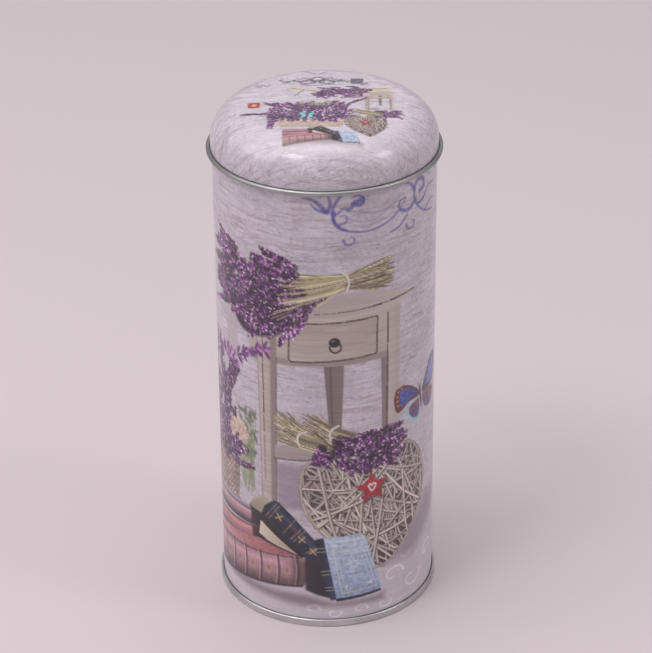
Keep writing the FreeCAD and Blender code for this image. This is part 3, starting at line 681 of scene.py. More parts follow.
def books(sheet):
    """Old books in a pile, one leaning and one standing against it."""
    rng = sheet.rng
    sheet.patch([(-52, 13), (-8, 13), (2, 10), (22, 11), (22, 8), (-10, 8.4), (-52, 10.5)],
                (0.42, 0.36, 0.38), soft=3.0, cover=0.6)
    sheet.patch([(-58, 45.4), (-30, 45.6), (-27, 44.0), (-58, 42.6)], (0.56, 0.57, 0.66),
                (0.68, 0.66, 0.72), toward=(-1, 0))
    closed_book(sheet, [(-58, 37.6), (-58, 43.6), (-26.0, 38.8), (-26.0, 44.6)],
                (0.70, 0.54, 0.59))
    sheet.patch([(-31.4, 38.6), (-31.0, 45.0), (-27.4, 45.6), (-25.4, 42.4), (-26.0, 38.8)],
                (0.10, 0.07, 0.09), (0.30, 0.20, 0.24), toward=(-1, 0.4), soft=1.0)
    closed_book(sheet, [(-58, 27.6), (-58, 35.2), (-25.0, 31.0), (-25.0, 38.0)],
                (0.68, 0.47, 0.50))
    sheet.stroke([(-44, 33.8), (-32, 36.0)], 1.3, (0.86, 0.58, 0.60), soft=1.2, cover=0.7)
    sheet.patch([(-30.6, 31.2), (-30.8, 37.4), (-26.4, 38.4), (-24.4, 35.2), (-25.0, 31.0)],
                (0.13, 0.08, 0.10), (0.34, 0.20, 0.23), toward=(-1, 0.4), soft=1.0)
    sheet.patch([(-60, 27.4), (-27, 33.6), (-10.6, 30.6), (-9.4, 29.2), (-58, 24.0)],
                (0.62, 0.36, 0.38), (0.78, 0.60, 0.61), toward=(-1, -0.7), texture=0.08)
    sheet.stroke([(-28, 34.2), (-20, 32.6), (-10.4, 30.4)], 0.9, (0.14, 0.10, 0.12), soft=0.5)
    closed_book(sheet, [(-62, 9.6), (-62, 24.4), (-7.8, 17.6), (-7.8, 30.0)],
                (0.69, 0.53, 0.57), bands=6)
    sheet.patch([(-8.6, 30.0), (-3.4, 32), (1.4, 12), (-4, 13.6), (-8.4, 15.4)],
                (0.13, 0.11, 0.14), (0.24, 0.19, 0.21), toward=(-1, 0), soft=1.0)
    sheet.patch([(-32.4, 46.0), (-29, 51.0), (-25.2, 52.4), (-19.6, 51.6), (-24.6, 44.0),
                 (-29.6, 43.2)], (0.56, 0.52, 0.46), (0.78, 0.74, 0.67), toward=(0.4, 1))
    for k in range(9):
        a = k / 8
        sheet.stroke([(-31.6 + 5.6 * a, 46.6 + 5.2 * a), (-28.8 + 8.2 * a, 43.8 + 7.4 * a)], 0.22,
                     (0.38, 0.33, 0.30), cover=0.65)
    sheet.patch([(-26.4, 42.6), (-20, 38.6), (-9.0, 30.2), (-14, 31.2), (-22, 33.4), (-27.4, 35.6)],
                (0.88, 0.84, 0.79), (0.70, 0.63, 0.57), toward=(1, -0.4))
    for k in range(6):
        a = k / 5
        sheet.stroke([(-26.6 + 0.4 * a, 41.4 - 5.4 * a), (-11.4, 31.0 + 0.3 * a)], 0.18,
                     (0.58, 0.50, 0.45), cover=0.5)
    sheet.patch([(-32.2, 46.0), (-29.8, 42.4), (-25.8, 41.2), (-9.6, 29.6), (-7.4, 30.4),
                 (-24.8, 44.6)], (0.09, 0.08, 0.10), (0.2, 0.17, 0.18), toward=(0, 1))
    spine = [(-26.0, 44.8), (-24.6, 48.6), (-20.6, 52.0), (-18.4, 51.8), (-13.6, 47.6),
             (-7.6, 41.0), (-3.6, 36.2), (-1.4, 31.2), (-3.6, 27.6), (-8.2, 29.6),
             (-15.6, 36.4), (-22.0, 42.2)]
    sheet.patch(spine, (0.08, 0.08, 0.13), (0.22, 0.23, 0.34), toward=(1, 0.6), texture=0.16,
                soft=0.5)
    sheet.stroke([(-20.6, 49.8), (-14.0, 44.0), (-7.2, 36.8), (-4.6, 33.2)], 1.5,
                 (0.34, 0.36, 0.50), soft=1.3, cover=0.6, rough=0.5)
    sheet.stroke([(-13.8, 42.4), (-11.6, 40.0)], 1.6, (0.42, 0.20, 0.24), soft=0.5, cover=0.7)
    gold = (0.74, 0.62, 0.43)
    for x, y, turn in ((-18.4, 45.4, 0.5), (-9.6, 37.4, 0.9), (-5.4, 32.6, 0.7)):
        for k in range(4):
            a = turn + k * math.pi / 2
            sheet.dab(x + 1.15 * math.cos(a), y + 1.15 * math.sin(a), 0.85, 0.38, a, gold,
                      cover=0.9)
        sheet.dab(x, y, 0.4, 0.4, 0, (0.86, 0.76, 0.56))
    for p, q in (((-24.0, 44.4), (-19.2, 51.0)), ((-22.8, 43.6), (-18.2, 50.2)),
                 ((-16.8, 39.0), (-12.0, 45.4)), ((-14.0, 36.8), (-9.2, 42.4)),
                 ((-12.9, 36.0), (-8.2, 41.4)), ((-8.2, 31.6), (-3.4, 34.8))):
        sheet.stroke([p, q], 0.42, gold, cover=0.85, rough=0.6)
    sheet.patch([(-4.6, 38.0), (-1.0, 38.9), (4.0, 11.4), (1.0, 11.2), (-1.6, 22), (-3.8, 33)],
                (0.10, 0.10, 0.16), (0.27, 0.31, 0.45), toward=(1, 0))
    for y in (34.4, 32.8, 24.4, 22.8, 17.2, 15.8):
        x = -0.6 - (y - 25) * 0.19
        sheet.stroke([(x - 1.9, y - 0.4), (x + 1.7, y)], 0.45, (0.70, 0.66, 0.58), cover=0.75)
    sheet.patch([(-1.6, 38.8), (12.4, 39.6), (14.4, 37.6), (20.9, 14.2), (20.2, 12.9),
                 (3.2, 11.4)], (0.56, 0.61, 0.73), (0.73, 0.78, 0.87), toward=(-0.3, 1),
                texture=0.10, streak=0.06)
    for _ in range(46):
        x, y = rng.uniform(1, 18), rng.uniform(13, 38)
        if abs(x - (9.4 - (y - 26) * 0.26)) < 7.2:
            sheet.dab(x, y, rng.uniform(0.5, 1.6), 0.3, rng.uniform(-0.4, 0.4),
                      (0.80, 0.83, 0.87), soft=0.5, cover=rng.uniform(0.1, 0.4))
    sheet.stroke([(12.6, 39.2), (20.8, 13.6)], 0.6, (0.82, 0.85, 0.88), soft=0.5, cover=0.6,
                 rough=0.6)
    sheet.patch([(3.2, 11.8), (20.4, 13.2), (20.6, 12.2), (3.0, 10.6)], (0.12, 0.12, 0.18))
    pale = (0.88, 0.90, 0.92)
    ruled(sheet, [(1.4, 37.0), (11.9, 37.6), (18.6, 15.2), (5.2, 14.0), (1.4, 37.0)], 0.32,
          pale, cover=0.7)
    ruled(sheet, [(2.6, 35.4), (11.0, 35.9), (16.8, 17.0), (6.4, 16.0), (2.6, 35.4)], 0.22,
          pale, cover=0.55)
    for x, y in ((2.9, 35.0), (10.6, 35.4), (16.2, 17.6), (6.8, 16.6)):
        for k in range(3):
            a = rng.uniform(0, 6.28)
            sheet.dab(x + 0.6 * math.cos(a), y + 0.6 * math.sin(a), 0.7, 0.3, a, pale, cover=0.7)
    for y, w in ((32.6, 3.4), (31.5, 2.2), (21.4, 2.6), (20.4, 1.6)):
        x = 9.6 - (y - 26) * 0.27
        sheet.stroke([(x - w, y), (x + w, y + 0.15)], 0.38, pale, cover=0.55)
    for k in range(8):
        a = k * math.pi / 4
        sheet.dab(9.6 + 1.5 * math.cos(a), 26.6 + 1.9 * math.sin(a), 1.0, 0.36, a, pale,
                  cover=0.65)


def flower_vase(sheet):
    """Wicker vase at the left with tall lavender, one pale bloom and green stems."""
    rng = sheet.rng
    sheet.patch([(-60, 62), (-37, 62), (-38.2, 45), (-60, 45)], (0.36, 0.29, 0.30),
                (0.50, 0.42, 0.42), toward=(1, 0), texture=0.15)
    wicker(sheet, 13, -60, -37.6, 45.6, 1.3, (2.0, 1.0, 1.15, 0.46, 0.35), (0.76, 0.67, 0.63),
           (0.75, 1.1), 0.92, dim=3.4)
    for _ in range(30):
        x = rng.uniform(-36, -28)
        tone = rng.uniform(0.7, 1.15)
        sheet.stroke(smooth_line([(x, rng.uniform(51, 58)), (x + rng.uniform(-3, 2), 67),
                                  (x + rng.uniform(-4, 3), rng.uniform(74, 88))], 4), 0.5,
                     toned((0.56, 0.59, 0.46), tone), soft=0.5, cover=0.7, end=0.25)
    for _ in range(44):
        tone = rng.uniform(0.65, 1.15)
        sheet.dab(rng.uniform(-36, -28), rng.uniform(66, 87), 1.8, 0.6, rng.uniform(0.2, 2.9),
                  toned((0.47, 0.50, 0.40), tone), soft=0.5, cover=0.75)
    for _ in range(70):
        y = rng.uniform(60, 104)
        x = rng.uniform(-58, -39 - 3 * abs(math.sin(y * 0.13)))
        lavender_spike(sheet, x, y, rng.uniform(0.9, 2.3), rng.uniform(6, 12),
                       dark=rng.uniform(0, 0.9))
    for k in range(60):
        a = k * 2.399
        r = 0.72 * math.sqrt(k)
        tone = rng.uniform(0.82, 1.08)
        sheet.dab(-37.6 + r * math.cos(a), 75.6 + 0.9 * r * math.sin(a), 1.0, 0.65, a + 0.8,
                  toned((0.87, 0.77, 0.71), tone), soft=0.4)
        sheet.dab(-37.4 + r * math.cos(a), 75.2 + 0.9 * r * math.sin(a), 0.35, 0.2, a,
                  (0.66, 0.52, 0.50), cover=0.6)
    spikes(sheet, 14, (-47, -38), (62, 66), (-0.2, 1.3), (5, 10))
    for x, y, angle in ((-40, 105, 0.6), (-37, 107.4, 0.5), (-34, 109.6, 0.45),
                        (-31, 111.6, 0.45), (-27.4, 113.6, 0.3), (-24, 114.6, 0.1)):
        for k in range(9):
            turn = angle + rng.uniform(-1.4, 1.4)
            tone = rng.uniform(0.8, 1.1)
            reach = rng.uniform(1.2, 3.0)
            sheet.dab(x + reach * math.cos(turn), y + reach * math.sin(turn), 1.7, 0.5, turn,
                      toned(PURPLES[int(rng.integers(1, 4))], tone), soft=0.3, flower=0.7)
    for _ in range(26):
        turn = rng.uniform(-0.2, 2.9)
        tone = rng.uniform(0.85, 1.1)
        sheet.dab(-44 + rng.uniform(3, 7) * math.cos(turn),
                  103 + rng.uniform(2, 6) * math.sin(turn), 1.9, 0.5, turn,
                  toned(PURPLES[int(rng.integers(1, 5))], tone), soft=0.3, flower=0.7)


def front_scrolls(sheet):
    """Violet leaf scrolls under the lid and pale curls on the floor."""
    violet = (0.37, 0.34, 0.60)
    scrollwork(sheet, [
        ([(-8, 176.6), (-4.4, 176.0), (-1.6, 173.8), (0.4, 171.6)], 0.6, 2.2),
        ([(-5, 174.4), (-2.6, 172.2), (0.2, 171.4)], 0.5, 1.6),
        ([(0.4, 171.4), (1.8, 174.0), (1.2, 177.4)], 2.0, 0.7),
        ([(5.4, 177.6), (3.0, 173.4), (2.6, 169.4), (4.4, 165.6), (8.6, 163.6), (15, 162.8),
          (22, 164.2), (27.6, 167.4), (31, 171.2)], 1.1, 0.5),
        ([(2.9, 171.0), (3.0, 168.0), (4.6, 165.5), (7.4, 164.0)], 1.6, 0.9),
        ([(3.4, 169.8), (6.2, 172.4), (8.6, 172.2), (10.4, 174.4), (13.2, 175.2)], 0.6, 2.0),
        ([(9.6, 174.0), (12.6, 173.2), (13.6, 175.4), (11.6, 177.0), (9.4, 176.4)], 1.6, 0.6),
        ([(4.6, 166.2), (7.4, 167.4), (7.0, 169.8), (5.0, 169.6)], 0.8, 0.4),
        ([(6.2, 160.4), (7.2, 158.6), (9.4, 158.6), (10.2, 160.4), (8.8, 161.6)], 0.9, 0.4),
        ([(49, 160.2), (42, 162.4), (37.2, 166.6), (35.4, 171.6), (37.2, 175.8), (40.8, 175.2),
          (41.2, 172.0), (38.8, 171.2)], 0.6, 1.9),
        ([(36.2, 168.6), (32.4, 166.4), (28.4, 167.6), (28.0, 170.6), (30.8, 171.6)], 1.7, 0.5),
        ([(37.6, 166.6), (41, 167.4), (45, 170.8), (50.4, 170.6)], 1.7, 0.4),
        ([(35.6, 172.6), (33.6, 175.6), (30.0, 177.2)], 1.5, 0.4),
        ([(42.6, 162.4), (46.6, 164.6), (50.6, 164.2)], 1.0, 0.4),
        ([(31.4, 160.6), (32.4, 158.8), (34.8, 158.8), (35.6, 160.8), (34.0, 161.8)], 0.9, 0.4),
        ([(24, 160.2), (28, 161.4), (31.8, 164.6)], 0.5, 0.9),
    ], violet, 0.8)
    scrollwork(sheet, [
        ([(8, 168.4), (14, 166.4), (20, 167.6), (26, 172.4)], 0.9, 0.3),
        ([(12, 171), (18, 169.2), (25, 170.8), (30, 175)], 0.8, 0.3),
        ([(10, 165.6), (17, 165.0), (25, 167.6)], 0.7, 0.3),
        ([(44, 176), (49, 174), (55, 175)], 0.7, 0.3),
    ], (0.50, 0.47, 0.57), 0.4)
    pale = (0.95, 0.93, 0.97)
    swirls = []
    for x, y, size, turn in ((26, 17, 5.5, 1), (36, 12, 6, -1), (47, 18, 5.5, 1), (32, 25, 4, -1),
                             (43, 28, 4.5, 1), (-6, 7, 3.2, 1), (2, 5.6, 3, -1), (12, 6, 3.2, 1),
                             (22, 6.4, 3.4, -1)):
        line = []
        for k in range(9):
            a = turn * k * 0.62
            reach = size * (1 - k / 10)
            line.append((x + reach * math.cos(a), y + reach * 0.8 * math.sin(a)))
        swirls.append((line, 0.95, 0.4))
    scrollwork(sheet, swirls, pale, 0.8)


def back_scene(sheet):
    """The rest of the wall: crates, bundles, sprigs, butterflies and scrolls on the boards."""
    rng = sheet.rng
    violet = (0.42, 0.40, 0.62)
    for side in (-1, 1):
        x0 = side * 92
        sheet.place(x0)
        sheet.patch([(-22, 66), (22, 66), (19.5, 38), (-19.5, 38)], (0.62, 0.56, 0.54),
                    (0.74, 0.69, 0.67), toward=(0, 1), streak=0.06)
        for y in (45.5, 52, 58.5):
            sheet.stroke([(-20.6, y), (20.6, y)], 0.7, (0.33, 0.27, 0.27), cover=0.8, rough=0.5)
        for x in (-17.6, 17.6):
            sheet.stroke([(x * 1.04, 65), (x, 39)], 2.6, (0.78, 0.73, 0.71),
                         edge=(0.60, 0.54, 0.53))
        for x, y in top_first((rng.uniform(-19, 19), rng.uniform(64, 88)) for _ in range(150)):
            if abs(x) > 21 - (y - 64) * 0.45:
                continue
            lavender_spike(sheet, x, y, math.pi / 2 - x * 0.035 + rng.uniform(-0.25, 0.25),
                           rng.uniform(7, 12), dark=rng.uniform(0, 0.8))
        sheet.patch([(-24, 38), (24, 38), (30, 33), (-30, 33)], (0.52, 0.46, 0.50), soft=3,
                    cover=0.45)
        scrollwork(sheet, [
            ([(-20, 170), (-12, 163), (0, 160), (12, 163), (20, 170)], 1.6, 0.6),
            ([(-12, 163), (-9, 168), (-13, 171), (-15.6, 168)], 1.2, 0.5),
            ([(12, 163), (9, 168), (13, 171), (15.6, 168)], 1.2, 0.5),
            ([(0, 160), (-3, 165), (0, 169), (3, 165), (0, 160)], 1.1, 0.6),
        ], violet, 0.5)
        for k in range(3):
            x = -14 + 14 * k
            y = 118 + 6 * (k % 2)
            stem = smooth_line([(x - 3, y - 20), (x - 1, y - 8), (x + 1, y)], 6)
            sheet.stroke(stem, 0.6, (0.56, 0.58, 0.44))
            lavender_spike(sheet, x + 1, y, 1.35 + 0.12 * k, 15)
        sheet.place(x0 - 4, -56)
        shelf_bunch(sheet)
        sheet.place(side * 110, 104, 0.5)
        butterfly(sheet)
    sheet.place()


def paint_wall():
    """The whole wall unrolled: boards, a pale floor, the still life, then the back."""
    half = math.pi * WALL_R
    sheet = PrintedSheet(-half, half, 0, 182, 0.15, 2107)
    whitewashed_boards(sheet, (0.775, 0.742, 0.785), (157, 138, 119, 100, 81, 62))
    floor = sheet.window(-half, half, 0, 52)
    tone = 1 + 0.02 * sheet.mottle[floor[:2]] + 0.012 * sheet.fine[floor[:2]]
    fall = np.clip((48 - floor[3]) / 16, 0, 1) + 0 * floor[2]
    sheet.lay(floor, fall * 0.8, np.float32([0.80, 0.765, 0.80]) * tone[..., None])
    front = sheet.window(-half, half, 0, 13)
    sheet.lay(front, np.clip((11 - front[3]) / 6, 0, 1) * 0.4 + 0 * front[2], (0.86, 0.82, 0.84))
    wood_swirls(sheet, ((44, 118, 17, 7, 0.5, 9), (52, 146, 16, 6, 0.3, 8), (30, 104, 12, 6, 0.8, 6),
                        (-44, 160, 20, 6, -0.2, 7), (12, 156, 26, 4, 0.05, 6),
                        (-80, 120, 20, 7, 0.3, 8), (84, 112, 22, 8, -0.3, 8)),
                (0.48, 0.42, 0.45), 0.32)
    front_scrolls(sheet)
    sheet.patch([(-19, 69), (-4, 69), (-8, 50), (-19, 50)], (0.56, 0.50, 0.56), soft=2.0,
                cover=0.7)
    half_moon_table(sheet)
    table_bunch(sheet)
    flower_vase(sheet)
    sheet.patch([(24, 24), (44, 44), (56, 44), (52, 32), (36, 22)], (0.56, 0.51, 0.56), soft=6,
                cover=0.75)
    woven_heart(sheet)
    shelf_bunch(sheet)
    felt_star(sheet, 16.8, 58.4, 6.9)
    sheet.place(41, 89.4)
    butterfly(sheet)
    sheet.place()
    books(sheet)
    back_scene(sheet)
    # the bare strip along the welded seam, half of it at each end of the sheet
    seam = sheet.window(-half, half, 0, 182)
    edge = half - np.abs(seam[2]) + 0 * seam[3]
    sheet.lay(seam, np.clip((1.5 - edge) / 0.3, 0, 1), (0.66, 0.65, 0.66))
    return sheet


def paint_lid():
    """The lid's picture, middle at 0, 0: boards, a crest and a smaller still life."""
    sheet = PrintedSheet(-62, 62, -62, 62, 0.15, 411)
    whitewashed_boards(sheet, (0.79, 0.758, 0.798), (33, 17, 1, -15, -31, -46, 46))
    wood_swirls(sheet, ((-24, -36, 14, 7, 0.5, 9), (-40, -18, 15, 6, 1.0, 8), (6, -43, 20, 5, 0, 7),
                        (34, -32, 14, 6, -0.6, 8), (44, -4, 14, 6, 1.5, 7), (-36, 26, 16, 5, -0.7, 7),
                        (30, 34, 16, 5, 0.6, 7), (0, 36, 20, 4, 0, 6)),
                (0.46, 0.40, 0.43), 0.42)
    sheet.patch([(-26, -16), (26, -16), (32, -28), (22, -38), (-22, -38), (-32, -28)],
                (0.83, 0.795, 0.835), soft=6, cover=0.5)
    rng = sheet.rng
    grey = (0.30, 0.28, 0.33)
    crest = []
    for side in (-1, 1):
        crest += [
            ([(side * 0.6, 19), (side * 3.0, 20.8), (side * 5.6, 19.2), (side * 8.4, 20.6)],
             1.0, 0.5),
            ([(side * 1.0, 18.2), (side * 4.0, 17.2), (side * 6.2, 18.8), (side * 4.6, 20.2)],
             0.8, 0.4),
            ([(side * 8, 20.4), (side * 11, 19.4), (side * 13.4, 20.6), (side * 12.2, 21.6)],
             0.7, 0.4),
            ([(side * 2.0, 21.6), (side * 4.4, 22.6), (side * 6.4, 21.4)], 0.6, 0.4),
        ]
    crest += [([(-2.4, 21.6), (0, 23.6), (2.4, 21.6), (0, 20), (-2.4, 21.6)], 0.7, 0.5),
              ([(-6, 16.4), (-2, 15.6), (2, 15.8), (6, 16.6)], 0.5, 0.3),
              ([(-22, 16.6), (-20.6, 15.0), (-19.4, 16.8), (-18, 15.2), (-16.6, 16.6)], 0.4, 0.3),
              ([(-4, 29), (0, 26.6), (3, 28.4)], 0.5, 0.3)]
    sheet.place(-2.4, 0)
    scrollwork(sheet, crest, grey, 0.95)
    for _ in range(110):
        sheet.dab(rng.uniform(-13, 11), rng.normal(19.6, 1.2), rng.uniform(0.2, 0.6), 0.2,
                  rng.uniform(0, 3.1), grey, cover=rng.uniform(0.3, 0.8))
    sheet.place()
    sheet.patch([(9.6, 17), (14, 17), (14, 22), (9.6, 22)], (0.36, 0.34, 0.39), texture=0.2)
    sheet.stroke([(10.4, 18), (13.2, 21.0)], 0.35, (0.6, 0.58, 0.62), cover=0.7)
    sheet.patch([(-27.2, -4.2), (-22, -4.2), (-22, 1.4), (-27.2, 1.4)], (0.80, 0.76, 0.74))
    sheet.patch([(-26.7, -3.7), (-22.5, -3.7), (-22.5, 0.9), (-26.7, 0.9)], (0.66, 0.25, 0.28),
                texture=0.2)
    sheet.dab(-24.6, -1.4, 0.9, 1.2, 0, (0.84, 0.60, 0.52), soft=0.5)
    # the bundle at the back, its straw to both sides
    stems(sheet, 20, ((-13, -10), 13, 1.3), (-3, 10.6, -1.4), 0.35)
    sheet.stroke([(-10.5, 6.4), (-7, 11.8)], 0.4, STRAWS[0])
    stems(sheet, 34, (8, 9, 3), ((21.5, 23.6), 11.4, 1.7), 0.35)
    sheet.place(0, 0, 0.5)
    for _ in range(95):
        x, y = rng.uniform(-3, 33), rng.normal(18, 5.0)
        lavender_spike(sheet, x, y, rng.uniform(2.4, 3.8), rng.uniform(3.5, 6.5),
                       dark=rng.uniform(-1.4, 0.4))
    sheet.place(19.2, -23.2, 0.185, 1.30)
    half_moon_table(sheet)
    sheet.place(9.6, -35.0, 0.28, 1.18)
    woven_heart(sheet)
    felt_star(sheet, 17, 55, 8)
    sheet.place(0, 0, 0.5)
    spikes(sheet, 26, (35, 49), (-24, -13), (-1.9, 0.1), (4, 8), (-0.5, 0.6))
    sheet.place()
    straw_fan(sheet, (13, -8.2), (20, -10.4), (8.6, -6.6), 26, (1.6, 1.4, 1.6), 0.35)
    sheet.patch([(-17.4, -11.4), (7.4, -11.4), (6.0, -20.2), (-15.2, -20.2)],
                (0.67, 0.59, 0.55), (0.78, 0.71, 0.68), texture=0.16)
    wicker(sheet, 8, -16.8, 6.8, -19.6, 1.1, (1.25, 0.6, 0.72, 0.34, 0.2), (0.78, 0.71, 0.67),
           (0.80, 1.10), 0.85)
    sheet.place(0, 0, 0.55)
    for x, y in top_first((rng.uniform(-33, 14), rng.uniform(-24, -3)) for _ in range(165)):
        lavender_spike(sheet, x, y, 1.57 - (x + 8) * 0.03 + rng.uniform(-0.4, 0.4),
                       rng.uniform(4, 8), dark=rng.uniform(-1.2, 0.6))
    for x in (-33, -31, -35):
        lavender_spike(sheet, x, -22, -1.6 + rng.uniform(-0.2, 0.2), 16)
    spikes(sheet, 26, (-31, 14), (-24, -21), (-1.97, -1.17), (3, 7))
    for x, y in ((-38, -16.6), (-43, -16.0), (-47, -16.6)):
        lavender_spike(sheet, x, y, 3.1, 6)
    lavender_spike(sheet, 18, 0, 0.7, 12)
    for _ in range(26):
        sheet.dab(rng.uniform(-16, 8), rng.uniform(-4, 2.4), 1.8, 0.6, rng.uniform(0, 3.1),
                  (0.60, 0.62, 0.46), cover=0.8)
    sheet.place(-6.0, -10.4)
    for side in (-1, 1):
        sheet.dab(side * 1.5, 0.9, 1.6, 1.0, side * 0.6, (0.20, 0.36, 0.42))
        sheet.dab(side * 1.2, -0.9, 1.3, 0.8, -side * 0.6, (0.20, 0.36, 0.42))
        sheet.dab(side * 1.5, 0.9, 1.3, 0.75, side * 0.6, (0.48, 0.80, 0.84))
        sheet.dab(side * 1.2, -0.9, 1.0, 0.55, -side * 0.6, (0.55, 0.84, 0.86))
    sheet.stroke([(0, 1.2), (0, -1.3)], 0.5, (0.16, 0.20, 0.24))
    bare_boards = sheet.ink.copy()
    sheet.place(5.2, -34.8, 0.345, 0.84)
    books(sheet)
    past = int((-14.4 - sheet.left) / sheet.pitch)
    sheet.ink[:, :past] = bare_boards[:, :past]
    sheet.place()
    return sheet


# --------------------------------------------------------------- modelling

def drop_selection():
    for obj in bpy.context.selected_objects:
        obj.select_set(False)


def arc_points(cx, cz, radius, start, stop, count):
    return [(cx + radius * math.cos(math.radians(a)), cz + radius * math.sin(math.radians(a)))
            for a in np.linspace(start, stop, count + 1)]


def split_run(a, b, count):
    """Evenly spaced points from just past a up to b."""
    return [(a[0] + (b[0] - a[0]) * t, a[1] + (b[1] - a[1]) * t)
            for t in np.linspace(0, 1, count + 1)[1:]]


def spun_tin(name, section, steps, sweep, closed=True):
    """Trace a half section edge by edge from one point, then spin it about the axis."""
    drop_selection()
    x, z = section[0]
    bpy.ops.mesh.primitive_plane_add(size=0.001, location=(x * MM, 0, z * MM))
    obj = bpy.context.object
    obj.name = name
    obj.data.name = name
    bpy.ops.object.transform_apply(location=True, rotation=True, scale=True)
    bpy.ops.object.mode_set(mode="EDIT")
    bpy.ops.mesh.select_all(action="SELECT")
    bpy.ops.mesh.merge(type="CENTER")
    for here, there in zip(section[:-1], section[1:]):
        step = ((there[0] - here[0]) * MM, 0, (there[1] - here[1]) * MM)
        bpy.ops.mesh.extrude_region_move(TRANSFORM_OT_translate={"value": step})
    bpy.ops.mesh.select_all(action="SELECT")
    if closed:
        bpy.ops.mesh.remove_doubles(threshold=0.00001)
        bpy.ops.mesh.select_all(action="SELECT")
    whole = sweep > 359
    bpy.ops.mesh.spin(steps=steps, angle=math.radians(sweep), center=(0, 0, 0), axis=(0, 0, 1),
                      use_auto_merge=whole)
    bpy.ops.mesh.select_all(action="SELECT")
    bpy.ops.mesh.remove_doubles(threshold=0.000008)
    if not whole:
        bpy.ops.mesh.select_all(action="DESELECT")
        bpy.ops.mesh.select_non_manifold(extend=False, use_wire=False, use_boundary=True,
                                         use_multi_face=False, use_non_contiguous=False,
                                         use_verts=False)
        bpy.ops.mesh.edge_face_add()
    bpy.ops.mesh.select_all(action="SELECT")
    bpy.ops.mesh.normals_make_consistent(inside=False)
    bpy.ops.object.mode_set(mode="OBJECT")
    return obj


def crisp_shading(obj):
    """Smooth faces, with sharp edges kept where the sheet is cut or folded hard."""
    drop_selection()
    obj.select_set(True)
    bpy.context.view_layer.objects.active = obj
    bpy.ops.object.shade_smooth_by_angle(angle=math.radians(30))


def turned_copy(obj, name, degrees):
    """A copy with its own mesh, turned about the axis."""
    copy = obj.copy()
    copy.data = obj.data.copy()
    copy.name = name
    copy.data.name = name
    bpy.context.collection.objects.link(copy)
    copy.data.transform(Matrix.Rotation(math.radians(degrees), 4, "Z"))
    return copy


def measures_of(mesh):
    """Vertex places and face centres in millimetres, and each corner's vertex and face."""

    def read(items, field, kind=np.float32, width=1):
        values = np.empty(len(items) * width, kind)
        items.foreach_get(field, values)
        return values

    places = read(mesh.vertices, "co", width=3).reshape(-1, 3) / MM
    centre = read(mesh.polygons, "center", width=3).reshape(-1, 3) / MM
    vertex = read(mesh.loops, "vertex_index", np.int32)
    sides = read(mesh.polygons, "loop_total", np.int32)
    return places, centre, vertex, np.repeat(np.arange(len(sides)), sides)


def span_of(places):
    """Distance from the axis."""
    return np.hypot(places[:, 0], places[:, 1])


def write_layout(mesh, u, v):
    layer = mesh.uv_layers.new(name="OFBake")
    layer.data.foreach_set("uv", np.stack([u, v], 1).astype(np.float32).ravel())


def write_print(mesh, values):
    layer = mesh.color_attributes.new(name="print", type="FLOAT_COLOR", domain="POINT")
    layer.data.foreach_set("color", values.astype(np.float32).ravel())


def share_out(mesh, printed, picture):
    """The printed faces get the picture, all others bare tinplate."""
    mesh.materials.append(picture)
    mesh.materials.append(bare)
    mesh.polygons.foreach_set("material_index", np.where(printed, 0, 1).astype(np.int32))


def wall_section():
    """Half section of the wall: straight side, rolled mouth, hooked foot."""
    rows = int((SIDE_HIGH - SIDE_LOW) / LINE_PITCH)
    points = [(WALL_R, HOOK_Z), (WALL_R, SIDE_LOW)]
    points += split_run((WALL_R, SIDE_LOW), (WALL_R, SIDE_HIGH), rows)
    points += split_run((WALL_R, SIDE_HIGH), (WALL_R, ROLL_Z), 3)
    points += arc_points(ROLL_R, ROLL_Z, ROLL, 0, 270, 12)[1:]
    points += arc_points(ROLL_R, ROLL_Z, ROLL - GAUGE, 270, 0, 8)
    points += split_run((WALL_R - GAUGE, ROLL_Z), (WALL_R - GAUGE, HOOK_Z), 4)
    points += arc_points(HOOK_R, HOOK_Z, HOOK, 180, 360, 6)[1:]
    points += [(HOOK_R + HOOK, HOOK_TOP), (HOOK_R + HOOK - GAUGE, HOOK_TOP)]
    points += arc_points(HOOK_R, HOOK_Z, HOOK - GAUGE, 360, 180, 4)
    return points


def lid_section():
    """Half section of the lid from its crown out, round the rolled edge and back inside."""
    points = []
    for r in np.linspace(0, SHOULDER_R, 63):
        points.append((r, LID_TOP + CROWN * (1 - (r / SHOULDER_R) ** 2)))
    points += arc_points(SHOULDER_R, SHOULDER_Z, SHOULDER, 90, 0, 44)[1:]
    points += split_run((LID_R, SHOULDER_Z), (LID_R, LID_ROLL_Z), 7)
    inner = LID_ROLL - GAUGE
    points += arc_points(LID_ROLL_R, LID_ROLL_Z, inner, 180, 480, 12)[1:]
    points += arc_points(LID_ROLL_R, LID_ROLL_Z, LID_ROLL, 480, 180, 14)
    points += split_run((LID_R - GAUGE, LID_ROLL_Z), (LID_R - GAUGE, SHOULDER_Z), 2)
    points += arc_points(SHOULDER_R, SHOULDER_Z, SHOULDER - GAUGE, 0, 90, 8)[1:]
    points += split_run((SHOULDER_R, LID_TOP - GAUGE), (0, LID_TOP - GAUGE + CROWN), 3)
    return points


# ---------------------------------------------------------------- finishes

